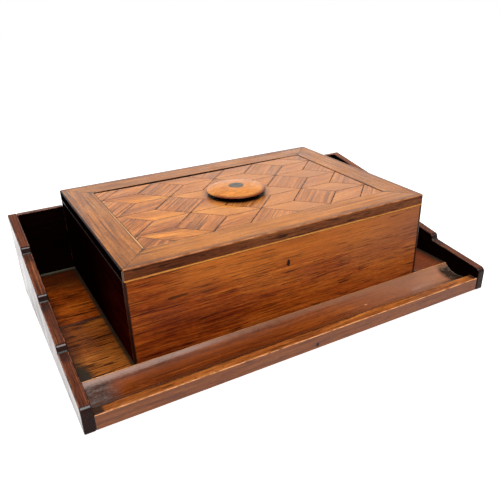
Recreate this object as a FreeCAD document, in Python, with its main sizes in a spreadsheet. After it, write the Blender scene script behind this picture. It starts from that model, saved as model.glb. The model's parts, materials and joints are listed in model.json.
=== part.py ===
"""Inkwell box: a desk tray with stepped galleries and a pen trough, a box on it with a
lift-off parquetry lid, and two glass ink bottles with hinged caps inside. Millimetres.
The origin is on the table under the middle of the tray: X runs along the tray to the
right, Y from the front to the back, and Z up."""

import FreeCAD, Part
import math
import os
import Sketcher

doc = FreeCAD.newDocument("inkwell_box")
sheet = doc.addObject("Spreadsheet::Sheet", "size")
exported = []

SIZES = [
    # the tray
    ("bay_width", 38.5, "clear space on each side, from the gallery to the box"),
    ("trough_width", 28.3, "pen trough, from the front rail to the box"),
    ("baize_thickness", 1, "cloth glued under the tray"),
    ("baize_margin", 4, "from the tray's outline to the cloth"),
    ("floor_thickness", 11.6, "floor boards and trough"),
    ("front_board_depth", 74.4, "from the trough to the joint between the floor boards"),
    ("front_rail_width", 7.9, "the ledge in front of the trough"),
    ("front_rail_height", 11.6, "the ledge above the underside"),
    ("cove_depth", 6.1, "of the pen trough"),
    # the stepped galleries
    ("gallery_thickness", 7.5, ""),
    ("gallery_proud", 0.6, "how far it stands in front of the rail"),
    ("gallery_back_height", 71.7, "above the underside, also of the back wings"),
    ("gallery_front_height", 19.9, "at the rounded nose"),
    ("nose_radius", 4.4, "rounds the front end"),
    ("first_step", 56, "from the front to the first riser"),
    ("step_pitch", 50.8, "from one riser to the next"),
    ("step_rise", 5.1, "height of each riser"),
    ("step_lean", 1.8, "how far a riser leans back"),
    ("front_foot_height", 26.1, "foot of the first riser"),
    ("middle_foot_height", 39.4, "foot of the second riser"),
    ("rear_foot_height", 57.6, "foot of the third riser"),
    ("shoulder_radius", 2.4, "rounds the top of a riser"),
    ("foot_radius", 1.6, "hollows the foot of a riser"),
    ("wing_thickness", 5, "back boards beside the box"),
    # the box
    ("box_width", 258, ""),
    ("box_depth", 179.2, "to its back, which is flush with the tray's"),
    ("box_height", 75.9, "top of the walls above the underside"),
    ("wall_thickness", 8, ""),
    ("corner_lap", 5, "how deep the sides enter the front and back"),
    ("corner_radius", 2, "rounds the upright corners of box and lid"),
    ("edging_thickness", 1.2, "boxwood on the top of the walls"),
    ("divider_thickness", 5, ""),
    ("divider_height", 44, "above the floor"),
    ("well_row_depth", 52, "clear space from the long divider to the back"),
    ("well_cell_width", 52, "clear space for one bottle"),
    ("housing_depth", 2, "grooves that hold the dividers' ends"),
    # the lid
    ("lid_thickness", 8, ""),
    ("lid_frame_width", 23.6, "mitred members"),
    ("arris_radius", 1.2, "rounds the lid's upper edge"),
    ("tongue_width", 5, "of the ground, under the frame"),
    ("tongue_thickness", 3.5, ""),
    ("tile_thickness", 1, "sawn parquetry"),
    ("panel_drop", 0.4, "parquetry below the frame"),
    ("panel_gap", 0.3, "between the parquetry and the frame"),
    ("tile_half_height", 21.5, "half the diagonal of a square tile"),
    ("tile_edge", 30.4, "the long edges of the rhombs"),
    ("lip_thickness", 4, "locating strips under the lid"),
    ("lip_depth", 5, ""),
    ("lip_clearance", 0.4, "from the strips to the walls"),
    # the knob
    ("knob_radius", 25.2, "at the rim"),
    ("knob_height", 6.8, ""),
    ("knob_rim_height", 1.6, "underside of the rim above the lid, for the fingertips"),
    ("knob_rim_thickness", 2, ""),
    ("knob_rim_bevel", 0.7, "on the upper edge of the rim"),
    ("knob_foot_radius", 14, "where it stands on the lid"),
    ("knob_crown_radius", 15.6, "where the upper face turns flatter"),
    ("knob_crown_height", 5.7, ""),
    ("plug_radius", 6.6, ""),
    ("plug_thickness", 1.6, ""),
    ("screw_radius", 1.9, "shank of the screw that holds the knob"),
    ("screw_head_radius", 3.6, ""),
    ("screw_head_height", 1.6, ""),
    ("screw_length", 9.5, "under its head"),
    ("screw_fit", 0.05, "round the screw and the plug"),
    # the ink bottles
    ("bottle_width", 46, "square plan"),
    ("bottle_height", 22, "up to the shoulder"),
    ("bottle_corner_bevel", 4, "on the upright corners"),
    ("bottle_shoulder_bevel", 2.5, "round the top of the glass"),
    ("glass_base", 4, "under the well"),
    ("well_radius", 17, "round well in the glass"),
    ("well_roof", 3, "glass over the well, beside the neck"),
    ("neck_radius", 9.5, ""),
    ("neck_height", 5.8, ""),
    ("mouth_radius", 7.5, ""),
    # the collars, caps and hinges
    ("collar_wall", 1.5, ""),
    ("cap_radius", 11.6, ""),
    ("cap_skirt", 2, "upright edge of the cap"),
    ("cap_rise", 3.2, "of the sloping shoulder above that edge"),
    ("cap_crown_radius", 7, "the flat top"),
    ("cap_seat_gap", 0.1, "between the closed cap and its collar"),
    ("cap_tab_length", 1.8, "thumb tab"),
    ("cap_tab_width", 6, ""),
    ("cap_tab_thickness", 1.4, "also of the arm to its knuckle"),
    ("knuckle_radius", 1.9, ""),
    ("cap_knuckle_length", 3.9, "middle knuckle, on the cap"),
    ("collar_knuckle_length", 2.9, "each outer knuckle, on the collar"),
    ("knuckle_gap", 0.15, "between knuckles"),
    ("pin_radius", 0.8, ""),
    ("pin_fit", 0.05, "round the pin"),
]

for row, (alias, value, note) in enumerate(SIZES, start=1):
    sheet.set(f"A{row}", alias.replace("_", " "))
    sheet.set(f"B{row}", str(value))
    sheet.set(f"C{row}", note)
    sheet.setAlias(f"B{row}", alias)
doc.recompute()

# Places that several pieces share, worked out from the sizes.
WOOD = "size.baize_thickness"
FLOOR = f"({WOOD} + size.floor_thickness)"
TRAY_WIDTH = "(size.box_width + 2 * size.bay_width + 2 * size.gallery_thickness)"
TRAY_DEPTH = ("(size.gallery_proud + size.front_rail_width + size.trough_width"
              " + size.box_depth)")
LEFT = f"(-{TRAY_WIDTH} / 2)"
FRONT = f"(-{TRAY_DEPTH} / 2)"
BACK = f"({TRAY_DEPTH} / 2)"
RAIL_FRONT = f"({FRONT} + size.gallery_proud)"
RAIL_BACK = f"({RAIL_FRONT} + size.front_rail_width)"
FLOOR_LEFT = f"({LEFT} + size.gallery_thickness)"
FLOOR_WIDTH = "(size.box_width + 2 * size.bay_width)"
FLOOR_BACK = f"({BACK} - size.wing_thickness)"
BOX_LEFT = "(-size.box_width / 2)"
BOX_FRONT = f"({BACK} - size.box_depth)"
BOX_MIDDLE = f"({BACK} - size.box_depth / 2)"
BOX_TOP = f"({WOOD} + size.box_height)"
WALL_HEIGHT = "(size.box_height - size.floor_thickness)"
LID_UNDER = f"({BOX_TOP} + size.edging_thickness)"
TILE_TOP = f"({LID_UNDER} + size.lid_thickness - size.panel_drop)"
WELL_FRONT = f"({BACK} - size.wall_thickness - size.well_row_depth)"
DIVIDER_X = f"({BOX_LEFT} + size.wall_thickness + size.well_cell_width)"
BOTTLE_X = f"({BOX_LEFT} + size.wall_thickness + size.well_cell_width / 2)"
BOTTLE_Y = f"({BACK} - size.wall_thickness - size.well_row_depth / 2)"
NECK_TOP = "(size.bottle_height + size.neck_height)"
HINGE_Y = "(size.cap_radius + size.knuckle_radius)"
HINGE_Z = f"({NECK_TOP} + size.cap_seat_gap)"
HINGE_BORE = "(size.pin_radius + size.pin_fit)"
TOLERANCE = 0.001


def number(expression):
    """The present value of an expression of sizes."""
    return float(sheet.evalExpression(str(expression)))


def new_body(label, x, y, z):
    """A body with its own origin at x, y, z."""
    body = doc.addObject("PartDesign::Body", label)
    body.Label = label
    for axis, expression in (("x", x), ("y", y), ("z", z)):
        body.setExpression(f"Placement.Base.{axis}", expression)
    return body


def new_sketch(body, plane):
    """An empty sketch on one of the body's origin planes: XY, XZ or YZ."""
    sketch = body.newObject("Sketcher::SketchObject", f"{body.Label}_outline")
    role = f"{plane}_Plane"
    origin_plane = [f for f in body.Origin.OriginFeatures if f.Role == role][0]
    sketch.AttachmentSupport = (origin_plane, [""])
    sketch.MapMode = "FlatFace"
    return sketch


def locate(sketch, curve, end, across, up):
    """Pin one end of a curve to its place by two dimensions from the sketch's origin."""
    for kind, axis, expression in (("DistanceX", -2, across), ("DistanceY", -1, up)):
        if str(expression) == "0":
            sketch.addConstraint(Sketcher.Constraint("PointOnObject", curve, end, axis))
            continue
        where = number(expression)
        index = sketch.addConstraint(
            Sketcher.Constraint(kind, -1, 1, curve, end, where))
        sketch.setExpression(f"Constraints[{index}]", str(expression))


def draw_outline(sketch, corners):
    """A closed outline. A corner is (across, up), or (across, up, side, radius) where an
    arc of that radius runs to the next corner and bulges to that side of the way."""
    spots = [FreeCAD.Vector(number(c[0]), number(c[1]), 0) for c in corners]
    first = sketch.GeometryCount
    ends = []
    for index, corner in enumerate(corners):
        start, stop = spots[index], spots[(index + 1) % len(spots)]
        if len(corner) == 2:
            sketch.addGeometry(Part.LineSegment(start, stop), False)
            ends.append((1, 2))
            continue
        side, radius = corner[2], number(corner[3])
        chord = stop - start
        rise = math.sqrt(max(radius ** 2 - (chord.Length / 2) ** 2, 0))
        left = FreeCAD.Vector(-chord.y, chord.x, 0).normalize()
        centre = (start + stop) * 0.5 + left * (rise if side == "right" else -rise)
        if side == "left":
            start, stop = stop, start
        ends.append((1, 2) if side == "right" else (2, 1))
        angle = [math.atan2(v.y - centre.y, v.x - centre.x) for v in (start, stop)]
        circle = Part.Circle(centre, FreeCAD.Vector(0, 0, 1), radius)
        sketch.addGeometry(Part.ArcOfCircle(circle, angle[0], angle[1]), False)
    for index, corner in enumerate(corners):
        curve = first + index
        following = first + (index + 1) % len(corners)
        next_start = ends[(index + 1) % len(corners)][0]
        sketch.addConstraint(Sketcher.Constraint(
            "Coincident", curve, ends[index][1], following, next_start))
    for index, corner in enumerate(corners):
        locate(sketch, first + index, ends[index][0], corner[0], corner[1])
        if len(corner) == 4:
            bend = sketch.addConstraint(
                Sketcher.Constraint("Radius", first + index, number(corner[3])))
            sketch.setExpression(f"Constraints[{bend}]", corner[3])


def rectangle(left, bottom, right, top):
    return [(left, bottom), (right, bottom), (right, top), (left, top)]


def draw_circle(sketch, across, up, radius):
    circle = Part.Circle(FreeCAD.Vector(number(across), number(up), 0),
                         FreeCAD.Vector(0, 0, 1), number(radius))
    curve = sketch.addGeometry(circle, False)
    locate(sketch, curve, 3, across, up)
    index = sketch.addConstraint(Sketcher.Constraint("Radius", curve, number(radius)))
    sketch.setExpression(f"Constraints[{index}]", radius)


def pad(body, sketch, length, reverse=False):
    feature = body.newObject("PartDesign::Pad", f"{body.Label}_pad")
    feature.Profile = sketch
    feature.setExpression("Length", length)
    feature.Reversed = reverse
    sketch.Visibility = False
    doc.recompute()
    return feature


def pocket(body, sketch, length, reverse=False):
    """A pocket that must take something away."""
    before = body.Shape.Volume
    feature = body.newObject("PartDesign::Pocket", f"{body.Label}_pocket")
    feature.Profile = sketch
    feature.setExpression("Length", length)
    feature.Reversed = reverse
    sketch.Visibility = False
    doc.recompute()
    if not body.Shape.Volume < before - TOLERANCE:
        raise RuntimeError(f"a pocket in {body.Label} cut nothing")
    return feature


def cut_box(body, plane, corners, length, offset="0", reverse=False):
    """A rectangular pocket, from an origin plane moved along its normal by offset."""
    sketch = new_sketch(body, plane)
    sketch.setExpression("AttachmentOffset.Base.z", offset)
    draw_outline(sketch, rectangle(*corners))
    return pocket(body, sketch, length, reverse)


def turn_profile(body, corners, groove=False):
    """Turn an outline of (radius, height) corners about the body's upright axis."""
    sketch = new_sketch(body, "XZ")
    draw_outline(sketch, corners)
    before = body.Shape.Volume if groove else 0
    kind = "PartDesign::Groove" if groove else "PartDesign::Revolution"
    feature = body.newObject(kind, f"{body.Label}_turning")
    feature.Profile = sketch
    feature.ReferenceAxis = (sketch, ["V_Axis"])
    feature.Angle = 360
    sketch.Visibility = False
    doc.recompute()
    if groove and not body.Shape.Volume < before - TOLERANCE:
        raise RuntimeError(f"a groove in {body.Label} cut nothing")
    return feature


def near(value, target):
    return abs(value - target) < TOLERANCE


def edge_names(feature, wanted):
    """The names of the edges whose bounding box satisfies wanted."""
    return [f"Edge{index}" for index, edge in enumerate(feature.Shape.Edges, start=1)
            if wanted(edge.BoundBox)]


def upright_at(box, across, back):
    """Whether an edge is upright and stands at one of the given places."""
    straight = near(box.XLength, 0) and near(box.YLength, 0)
    return straight and any(near(box.XMin, value) for value in across) \
        and any(near(box.YMin, value) for value in back)


def round_edges(body, wanted, radius):
    base = body.Tip
    feature = body.newObject("PartDesign::Fillet", f"{body.Label}_round")
    feature.Base = (base, edge_names(base, wanted))
    feature.setExpression("Radius", radius)
    doc.recompute()
    return feature


def bevel_edges(body, wanted, width):
    base = body.Tip
    feature = body.newObject("PartDesign::Chamfer", f"{body.Label}_bevel")
    feature.Base = (base, edge_names(base, wanted))
    feature.setExpression("Size", width)
    doc.recompute()
    return feature


def keep(thing, label=None):
    """Mark a finished piece for export under its label."""
    if label:
        thing.Label = label
    exported.append(thing)
    return thing


def board(label, x, y, z, length, width, thickness):
    """A plain board with its lower left front corner at x, y, z."""
    body = new_body(label, x, y, z)
    sketch = new_sketch(body, "XY")
    draw_outline(sketch, rectangle("0", "0", length, width))
    pad(body, sketch, thickness)
    return keep(body)


# The tray's floor: cloth, two boards with a joint between them, and the front rail.

def tray_floor():
    margin = "size.baize_margin"
    board("baize_underlay", f"{LEFT} + {margin}", f"{FRONT} + {margin}", "0",
          f"{TRAY_WIDTH} - 2 * {margin}", f"{TRAY_DEPTH} - 2 * {margin}", WOOD)
    joint = f"({BOX_FRONT} + size.front_board_depth)"
    board("front_floor_board", FLOOR_LEFT, BOX_FRONT, WOOD,
          FLOOR_WIDTH, "size.front_board_depth", "size.floor_thickness")
    board("rear_floor_board", FLOOR_LEFT, joint, WOOD,
          FLOOR_WIDTH, f"{FLOOR_BACK} - {joint}", "size.floor_thickness")
    board("front_rail", FLOOR_LEFT, RAIL_FRONT, WOOD,
          FLOOR_WIDTH, "size.front_rail_width", "size.front_rail_height")


# The trough's section is a block with a round cove from the rail to the box front.

def pen_trough():
    width = "size.trough_width"
    cove = f"(({width} / 2) ^ 2 + size.cove_depth ^ 2) / (2 * size.cove_depth)"
    top = "size.floor_thickness"
    body = new_body("pen_trough", FLOOR_LEFT, RAIL_BACK, WOOD)
    sketch = new_sketch(body, "YZ")
    draw_outline(sketch, [("0", "0"), (width, "0"), (width, top, "left", cove), ("0", top)])
    pad(body, sketch, FLOOR_WIDTH)
    keep(body)


# An end gallery is one board whose top falls to the front in four slopes and three risers.

def gallery(label, x):
    lean = "size.step_lean"
    feet = ["size.front_foot_height", "size.middle_foot_height", "size.rear_foot_height"]
    top = "size.gallery_back_height"
    outline = [("0", "0"), (TRAY_DEPTH, "0"), (TRAY_DEPTH, top)]
    risers = []
    for step, foot in enumerate(feet):
        foot_y = f"(size.first_step + {step} * size.step_pitch)"
        risers.append(((f"({foot_y} + {lean})", f"({foot} + size.step_rise)"), (foot_y, foot)))
    for shoulder, foot in reversed(risers):
        outline += [shoulder, foot]
    nose = ("0", "size.gallery_front_height")
    outline.append(nose)
    body = new_body(label, x, FRONT, WOOD)
    sketch = new_sketch(body, "YZ")
    draw_outline(sketch, outline)
    pad(body, sketch, "size.gallery_thickness")
    for spots, radius in (([nose], "size.nose_radius"),
                          ([r[0] for r in risers], "size.shoulder_radius"),
                          ([r[1] for r in risers], "size.foot_radius")):
        places = [(number(across), number(up)) for across, up in spots]
        round_edges(body, lambda box: near(box.YLength, 0) and near(box.ZLength, 0) and any(
            near(box.YMin, y) and near(box.ZMin, z) for y, z in places), radius)
    keep(body)


def back_wing(label, x):
    board(label, x, FLOOR_BACK, WOOD, f"{BOX_LEFT} - {FLOOR_LEFT}",
          "size.wing_thickness", "size.gallery_back_height")


# The box's front and back lap over the ends of the sides. The dividers' ends sit in
# stopped grooves as high as the dividers.

def box_front():
    body = new_body("box_front", BOX_LEFT, BOX_FRONT, FLOOR)
    sketch = new_sketch(body, "XY")
    draw_outline(sketch, rectangle("0", "0", "size.box_width", "size.wall_thickness"))
    pad(body, sketch, WALL_HEIGHT)
    lap = "(size.wall_thickness - size.corner_lap)"
    right = "(size.box_width - size.wall_thickness)"
    cut_box(body, "XY", ("0", lap, "size.wall_thickness", "size.wall_thickness"),
            WALL_HEIGHT, reverse=True)
    cut_box(body, "XY", (right, lap, "size.box_width", "size.wall_thickness"),
            WALL_HEIGHT, reverse=True)
    width = number("size.box_width")
    round_edges(body, lambda box: upright_at(box, (0, width), (0,)), "size.corner_radius")
    keep(body)


def box_back():
    """The back goes down to the table behind the floor board, which it laps over."""
    body = new_body("box_back", BOX_LEFT, BACK + " - size.wall_thickness", WOOD)
    wall = "size.wall_thickness"
    sketch = new_sketch(body, "XY")
    draw_outline(sketch, rectangle("0", "0", "size.box_width", wall))
    pad(body, sketch, "size.box_height")
    over_floor = f"({wall} - size.wing_thickness)"
    cut_box(body, "XY", ("0", "0", "size.box_width", over_floor), "size.floor_thickness",
            reverse=True)
    for left, right in (("0", wall), (f"size.box_width - {wall}", "size.box_width")):
        cut_box(body, "XY", (left, "0", right, "size.corner_lap"), WALL_HEIGHT,
                offset="size.floor_thickness", reverse=True)
    first = f"({wall} + size.well_cell_width)"
    second = f"(size.box_width - {first} - size.divider_thickness)"
    for groove in (first, second):
        cut_box(body, "XY", (groove, "0", f"{groove} + size.divider_thickness",
                             "size.housing_depth"), "size.divider_height",
                offset="size.floor_thickness", reverse=True)
    width, depth = number("size.box_width"), number(wall)
    round_edges(body, lambda box: upright_at(box, (0, width), (depth,)), "size.corner_radius")
    keep(body)


def box_side(label, x, groove_from):
    """A side runs from lap to lap and has a groove for the long divider inside."""
    lap = "size.corner_lap"
    start = f"({BOX_FRONT} + size.wall_thickness - {lap})"
    length = f"(size.box_depth - 2 * size.wall_thickness + 2 * {lap})"
    body = new_body(label, x, start, FLOOR)
    sketch = new_sketch(body, "XY")
    draw_outline(sketch, rectangle("0", "0", "size.wall_thickness", length))
    pad(body, sketch, WALL_HEIGHT)
    groove_y = f"({WELL_FRONT} - size.divider_thickness - {start})"
    cut_box(body, "XY", (groove_from, groove_y, f"{groove_from} + size.housing_depth",
                         f"{groove_y} + size.divider_thickness"),
            "size.divider_height", reverse=True)
    keep(body)


def dividers():
    """The long divider makes the row for the bottles, the two short ones its cells."""
    thick = "size.divider_thickness"
    inside = "(size.box_width - 2 * size.wall_thickness)"
    housing = "size.housing_depth"
    body = new_body("long_divider", f"{BOX_LEFT} + size.wall_thickness - {housing}",
                    f"{WELL_FRONT} - {thick}", FLOOR)
    sketch = new_sketch(body, "XY")
    draw_outline(sketch, rectangle("0", "0", f"{inside} + 2 * {housing}", thick))
    pad(body, sketch, "size.divider_height")
    first = f"({housing} + size.well_cell_width)"
    second = f"({inside} + {housing} - size.well_cell_width - {thick})"
    for groove in (first, second):
        cut_box(body, "XY", (groove, f"{thick} - {housing}", f"{groove} + {thick}", thick),
                "size.divider_height", reverse=True)
    keep(body)
    row = f"(size.well_row_depth + 2 * {housing})"
    for label, x in (("left_well_divider", DIVIDER_X),
                     ("right_well_divider", f"-{DIVIDER_X} - {thick}")):
        board(label, x, f"{WELL_FRONT} - {housing}", FLOOR, thick, row, "size.divider_height")


# Rings that lie round the box, such as the lid's frame, are sawn at 45 degrees through
# their corners. One pair of mitre blocks per side cuts them all.

def ring_body(label, z, inset, width):
    """An empty body at the box's corner with the sketch of a rectangular ring."""
    body = new_body(label, BOX_LEFT, BOX_FRONT, z)
    sketch = new_sketch(body, "XY")
    for edge in (inset, f"({inset} + {width})"):
        low = str(edge)
        draw_outline(sketch, rectangle(low, low, f"size.box_width - {edge}",
                                       f"size.box_depth - {edge}"))
    return body, sketch


def mitre_blocks():
    """Four blocks, one per side, that meet on the 45 degree lines of the box's corners.
    They reach out past the walls, and in past the widest ring."""
    out = "size.wall_thickness"
    reach = "(2 * size.lid_frame_width)"
    low = f"(-{out})"
    far_x, far_y = f"(size.box_width + {out})", f"(size.box_depth + {out})"
    in_x, in_y = f"(size.box_width - {reach})", f"(size.box_depth - {reach})"
    outlines = {
        "front": [(low, low), (far_x, low), (in_x, reach), (reach, reach)],
        "back": [(reach, in_y), (in_x, in_y), (far_x, far_y), (low, far_y)],
        "left": [(low, low), (reach, reach), (reach, in_y), (low, far_y)],
        "right": [(in_x, reach), (far_x, low), (far_x, far_y), (in_x, in_y)],
    }
    blocks = {}
    for side, corners in outlines.items():
        body = new_body(f"{side}_mitre_block", BOX_LEFT, BOX_FRONT, "0")
        sketch = new_sketch(body, "XY")
        draw_outline(sketch, corners)
        pad(body, sketch, f"{LID_UNDER} + 2 * size.lid_thickness")
        blocks[side] = body
    return blocks


def saw_mitres(ring, prefix, blocks):
    for side, block in blocks.items():
        piece = doc.addObject("Part::Common", f"{prefix}_{side}")
        piece.Base = ring
        piece.Tool = block
        keep(piece)
    doc.recompute()


def round_ring_corners(body):
    width, depth = number("size.box_width"), number("size.box_depth")
    round_edges(body, lambda box: upright_at(box, (0, width), (0, depth)),
                "size.corner_radius")


def boxwood_edging(blocks):
    ring, sketch = ring_body("edging_ring", BOX_TOP, "0", "size.wall_thickness")
    pad(ring, sketch, "size.edging_thickness")
    round_ring_corners(ring)
    saw_mitres(ring, "edging", blocks)


def lid_frame(blocks):
    """The frame has rounded arrises above and a rebate below for the ground's tongue."""
    ring, sketch = ring_body("lid_frame_ring", LID_UNDER, "0", "size.lid_frame_width")
    pad(ring, sketch, "size.lid_thickness")
    edge = "(size.lid_frame_width - size.tongue_width)"
    cut_box(ring, "XY", (edge, edge, f"size.box_width - {edge}", f"size.box_depth - {edge}"),
            "size.tongue_thickness", reverse=True)
    round_ring_corners(ring)
    top = number("size.lid_thickness")
    width, depth = number("size.box_width"), number("size.box_depth")
    rim = number("size.corner_radius") + TOLERANCE
    round_edges(ring, lambda box: near(box.ZMin, top) and near(box.ZLength, 0)
                and (min(box.XMin, box.YMin) < rim
                     or width - box.XMax < rim or depth - box.YMax < rim),
                "size.arris_radius")
    saw_mitres(ring, "lid_frame", blocks)


def lid_lip(blocks):
    inset = "(size.wall_thickness + size.lip_clearance)"
    ring, sketch = ring_body("lid_lip_ring", f"{LID_UNDER} - size.lip_depth", inset,
                             "size.lip_thickness")
    pad(ring, sketch, "size.lip_depth")
    saw_mitres(ring, "lid_lip", blocks)


def lid_ground():
    """The board under the parquetry: a tongue all round, and a raised field."""
    tongue_edge = "(size.lid_frame_width - size.tongue_width)"
    field_edge = "(size.lid_frame_width + size.panel_gap)"
    body = new_body("lid_ground", BOX_LEFT, BOX_FRONT, LID_UNDER)
    for edge, height in ((tongue_edge, "size.tongue_thickness"),
                         (field_edge, "size.lid_thickness - size.panel_drop - size.tile_thickness")):
        sketch = new_sketch(body, "XY")
        draw_outline(sketch, rectangle(edge, edge, f"size.box_width - {edge}",
                                       f"size.box_depth - {edge}"))
        pad(body, sketch, height)
    sketch = new_sketch(body, "XY")
    draw_circle(sketch, "size.box_width / 2", "size.box_depth / 2",
                "size.screw_radius + size.screw_fit")
    pocket(body, sketch, "size.lid_thickness", reverse=True)
    keep(body)


# The parquetry is tumbling blocks: each block is a square tile on its point with two
# rhombs beside it, and the blocks repeat in columns that step up by half a tile.

def parquetry():
    half = number("size.tile_half_height")
    edge = number("size.tile_edge")
    left = number(f"{BOX_LEFT} + size.lid_frame_width + size.panel_gap")
    front = number(f"{BOX_FRONT} + size.lid_frame_width + size.panel_gap")
    right = -left
    back = 2 * number(BOX_MIDDLE) - front
    thickness = number("size.tile_thickness")
    floor = number(f"{TILE_TOP} - size.tile_thickness")
    middle = number(BOX_MIDDLE)
    hole = number("size.screw_radius + size.screw_fit")
    scrap = 0.05  # cubic millimetres: a smaller bit at the field's edge isn't laid
    field = Part.makeBox(right - left, back - front, thickness,
                         FreeCAD.Vector(left, front, floor))
    bore = Part.makeCylinder(hole, thickness, FreeCAD.Vector(0, middle, floor))
    field = field.cut(bore)
    shapes = {
        "parquetry_squares": [(0, 0), (half, half), (2 * half, 0), (half, -half)],
        "parquetry_back_rhombs": [(0, 0), (half, half), (half - edge, half), (-edge, 0)],
        "parquetry_front_rhombs": [(0, 0), (-edge, 0), (half - edge, -half), (half, -half)],
    }
    columns = math.ceil((right - left) / 2 / (edge + half)) + 1
    rows = math.ceil((back - front) / 2 / (2 * half)) + 1
    for label, outline in shapes.items():
        tiles = []
        for column in range(-columns, columns + 1):
            offset = half if column % 2 == 0 else 0
            for row in range(-rows, rows + 1):
                x = column * (edge + half) - half
                y = middle + offset + 2 * half * row
                corners = [FreeCAD.Vector(x + across, y + up, floor) for across, up in outline]
                face = Part.Face(Part.makePolygon(corners + corners[:1]))
                tile = face.extrude(FreeCAD.Vector(0, 0, thickness)).common(field)
                tiles += [solid for solid in tile.Solids if solid.Volume > scrap]
        piece = doc.addObject("Part::Feature", label)
        piece.Shape = Part.makeCompound(tiles)
        keep(piece)


# The knob is a low turned disc whose rim stands clear of the lid. A screw under the plug
# holds it.

def knob():
    body = new_body("knob", "0", BOX_MIDDLE, TILE_TOP)
    rim = "(size.knob_rim_height + size.knob_rim_thickness)"
    plug_seat = "(size.knob_height - size.plug_thickness)"
    plug_bore = "(size.plug_radius + size.screw_fit)"
    head_seat = f"({plug_seat} - size.screw_head_height - size.screw_fit)"
    head_bore = "(size.screw_head_radius + size.screw_fit)"
    shank_bore = "(size.screw_radius + size.screw_fit)"
    bevel = "size.knob_rim_bevel"
    turn_profile(body, [
        (shank_bore, "0"), ("size.knob_foot_radius", "0"),
        ("size.knob_foot_radius", "size.knob_rim_height"),
        ("size.knob_radius", "size.knob_rim_height"),
        ("size.knob_radius", f"{rim} - {bevel}"), (f"size.knob_radius - {bevel}", rim),
        ("size.knob_crown_radius", "size.knob_crown_height"),
        (plug_bore, "size.knob_height"), (plug_bore, plug_seat),
        (head_bore, plug_seat), (head_bore, head_seat), (shank_bore, head_seat)])
    keep(body)
    screw = new_body("knob_screw", "0", BOX_MIDDLE, f"{TILE_TOP} + {head_seat}")
    turn_profile(screw, [
        ("0", "-size.screw_length"), ("size.screw_radius", "-size.screw_length"),
        ("size.screw_radius", "0"), ("size.screw_head_radius", "0"),
        ("size.screw_head_radius", "size.screw_head_height"),
        ("0", "size.screw_head_height")])
    keep(screw)
    plug = new_body("knob_plug", "0", BOX_MIDDLE, f"{TILE_TOP} + {plug_seat}")
    turn_profile(plug, rectangle("0", "0", "size.plug_radius", "size.plug_thickness"))
    keep(plug)


# An ink bottle is a square block of glass with a round well and a short neck.

def ink_bottle(label, x):
    body = new_body(label, x, BOTTLE_Y, FLOOR)
    half = "(size.bottle_width / 2)"
    sketch = new_sketch(body, "XY")
    draw_outline(sketch, rectangle(f"-{half}", f"-{half}", half, half))
    pad(body, sketch, "size.bottle_height")
    edge = number(half)
    bevel_edges(body, lambda box: upright_at(box, (-edge, edge), (-edge, edge)),
                "size.bottle_corner_bevel")
    top = number("size.bottle_height")
    bevel_edges(body, lambda box: near(box.ZMin, top) and near(box.ZLength, 0),
                "size.bottle_shoulder_bevel")
    sketch = new_sketch(body, "XY")
    draw_circle(sketch, "0", "0", "size.neck_radius")
    pad(body, sketch, NECK_TOP)
    roof = "(size.bottle_height - size.well_roof)"
    turn_profile(body, [
        ("0", "size.glass_base"), ("size.well_radius", "size.glass_base"),
        ("size.well_radius", roof), ("size.mouth_radius", roof),
        ("size.mouth_radius", NECK_TOP), ("0", NECK_TOP)], groove=True)
    keep(body)


# The hinge of a cap: knuckles on a pin along X behind the cap.

def add_knuckle(body, start, length, root_y, low, high):
    """A knuckle with its arm, which runs from root_y back to the hinge axis between the
    heights low and high."""
    sketch = new_sketch(body, "YZ")
    sketch.setExpression("AttachmentOffset.Base.z", start)
    draw_outline(sketch, rectangle(root_y, low, HINGE_Y, high))
    pad(body, sketch, length)
    sketch = new_sketch(body, "YZ")
    sketch.setExpression("AttachmentOffset.Base.z", start)
    draw_circle(sketch, HINGE_Y, HINGE_Z, "size.knuckle_radius")
    pad(body, sketch, length)


def bore_knuckles(body):
    """The bore for the pin runs out past the outer knuckles."""
    reach = "(size.cap_knuckle_length / 2 + 2 * size.collar_knuckle_length)"
    sketch = new_sketch(body, "YZ")
    sketch.setExpression("AttachmentOffset.Base.z", f"-{reach}")
    draw_circle(sketch, HINGE_Y, HINGE_Z, HINGE_BORE)
    pocket(body, sketch, f"2 * {reach}", reverse=True)


def bottle_collar(label, x):
    body = new_body(label, x, BOTTLE_Y, FLOOR)
    outer = "(size.neck_radius + size.collar_wall)"
    turn_profile(body, rectangle("size.neck_radius", "size.bottle_height", outer, NECK_TOP))
    inner_end = "(size.cap_knuckle_length / 2 + size.knuckle_gap)"
    arm_root = "(size.neck_radius + size.collar_wall / 2)"
    arm_low = f"({HINGE_Z} - size.knuckle_radius)"
    arm_high = f"({HINGE_Z} - size.cap_seat_gap)"
    for start in (inner_end, f"(-{inner_end} - size.collar_knuckle_length)"):
        add_knuckle(body, start, "size.collar_knuckle_length", arm_root, arm_low, arm_high)
    bore_knuckles(body)
    keep(body)


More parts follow.
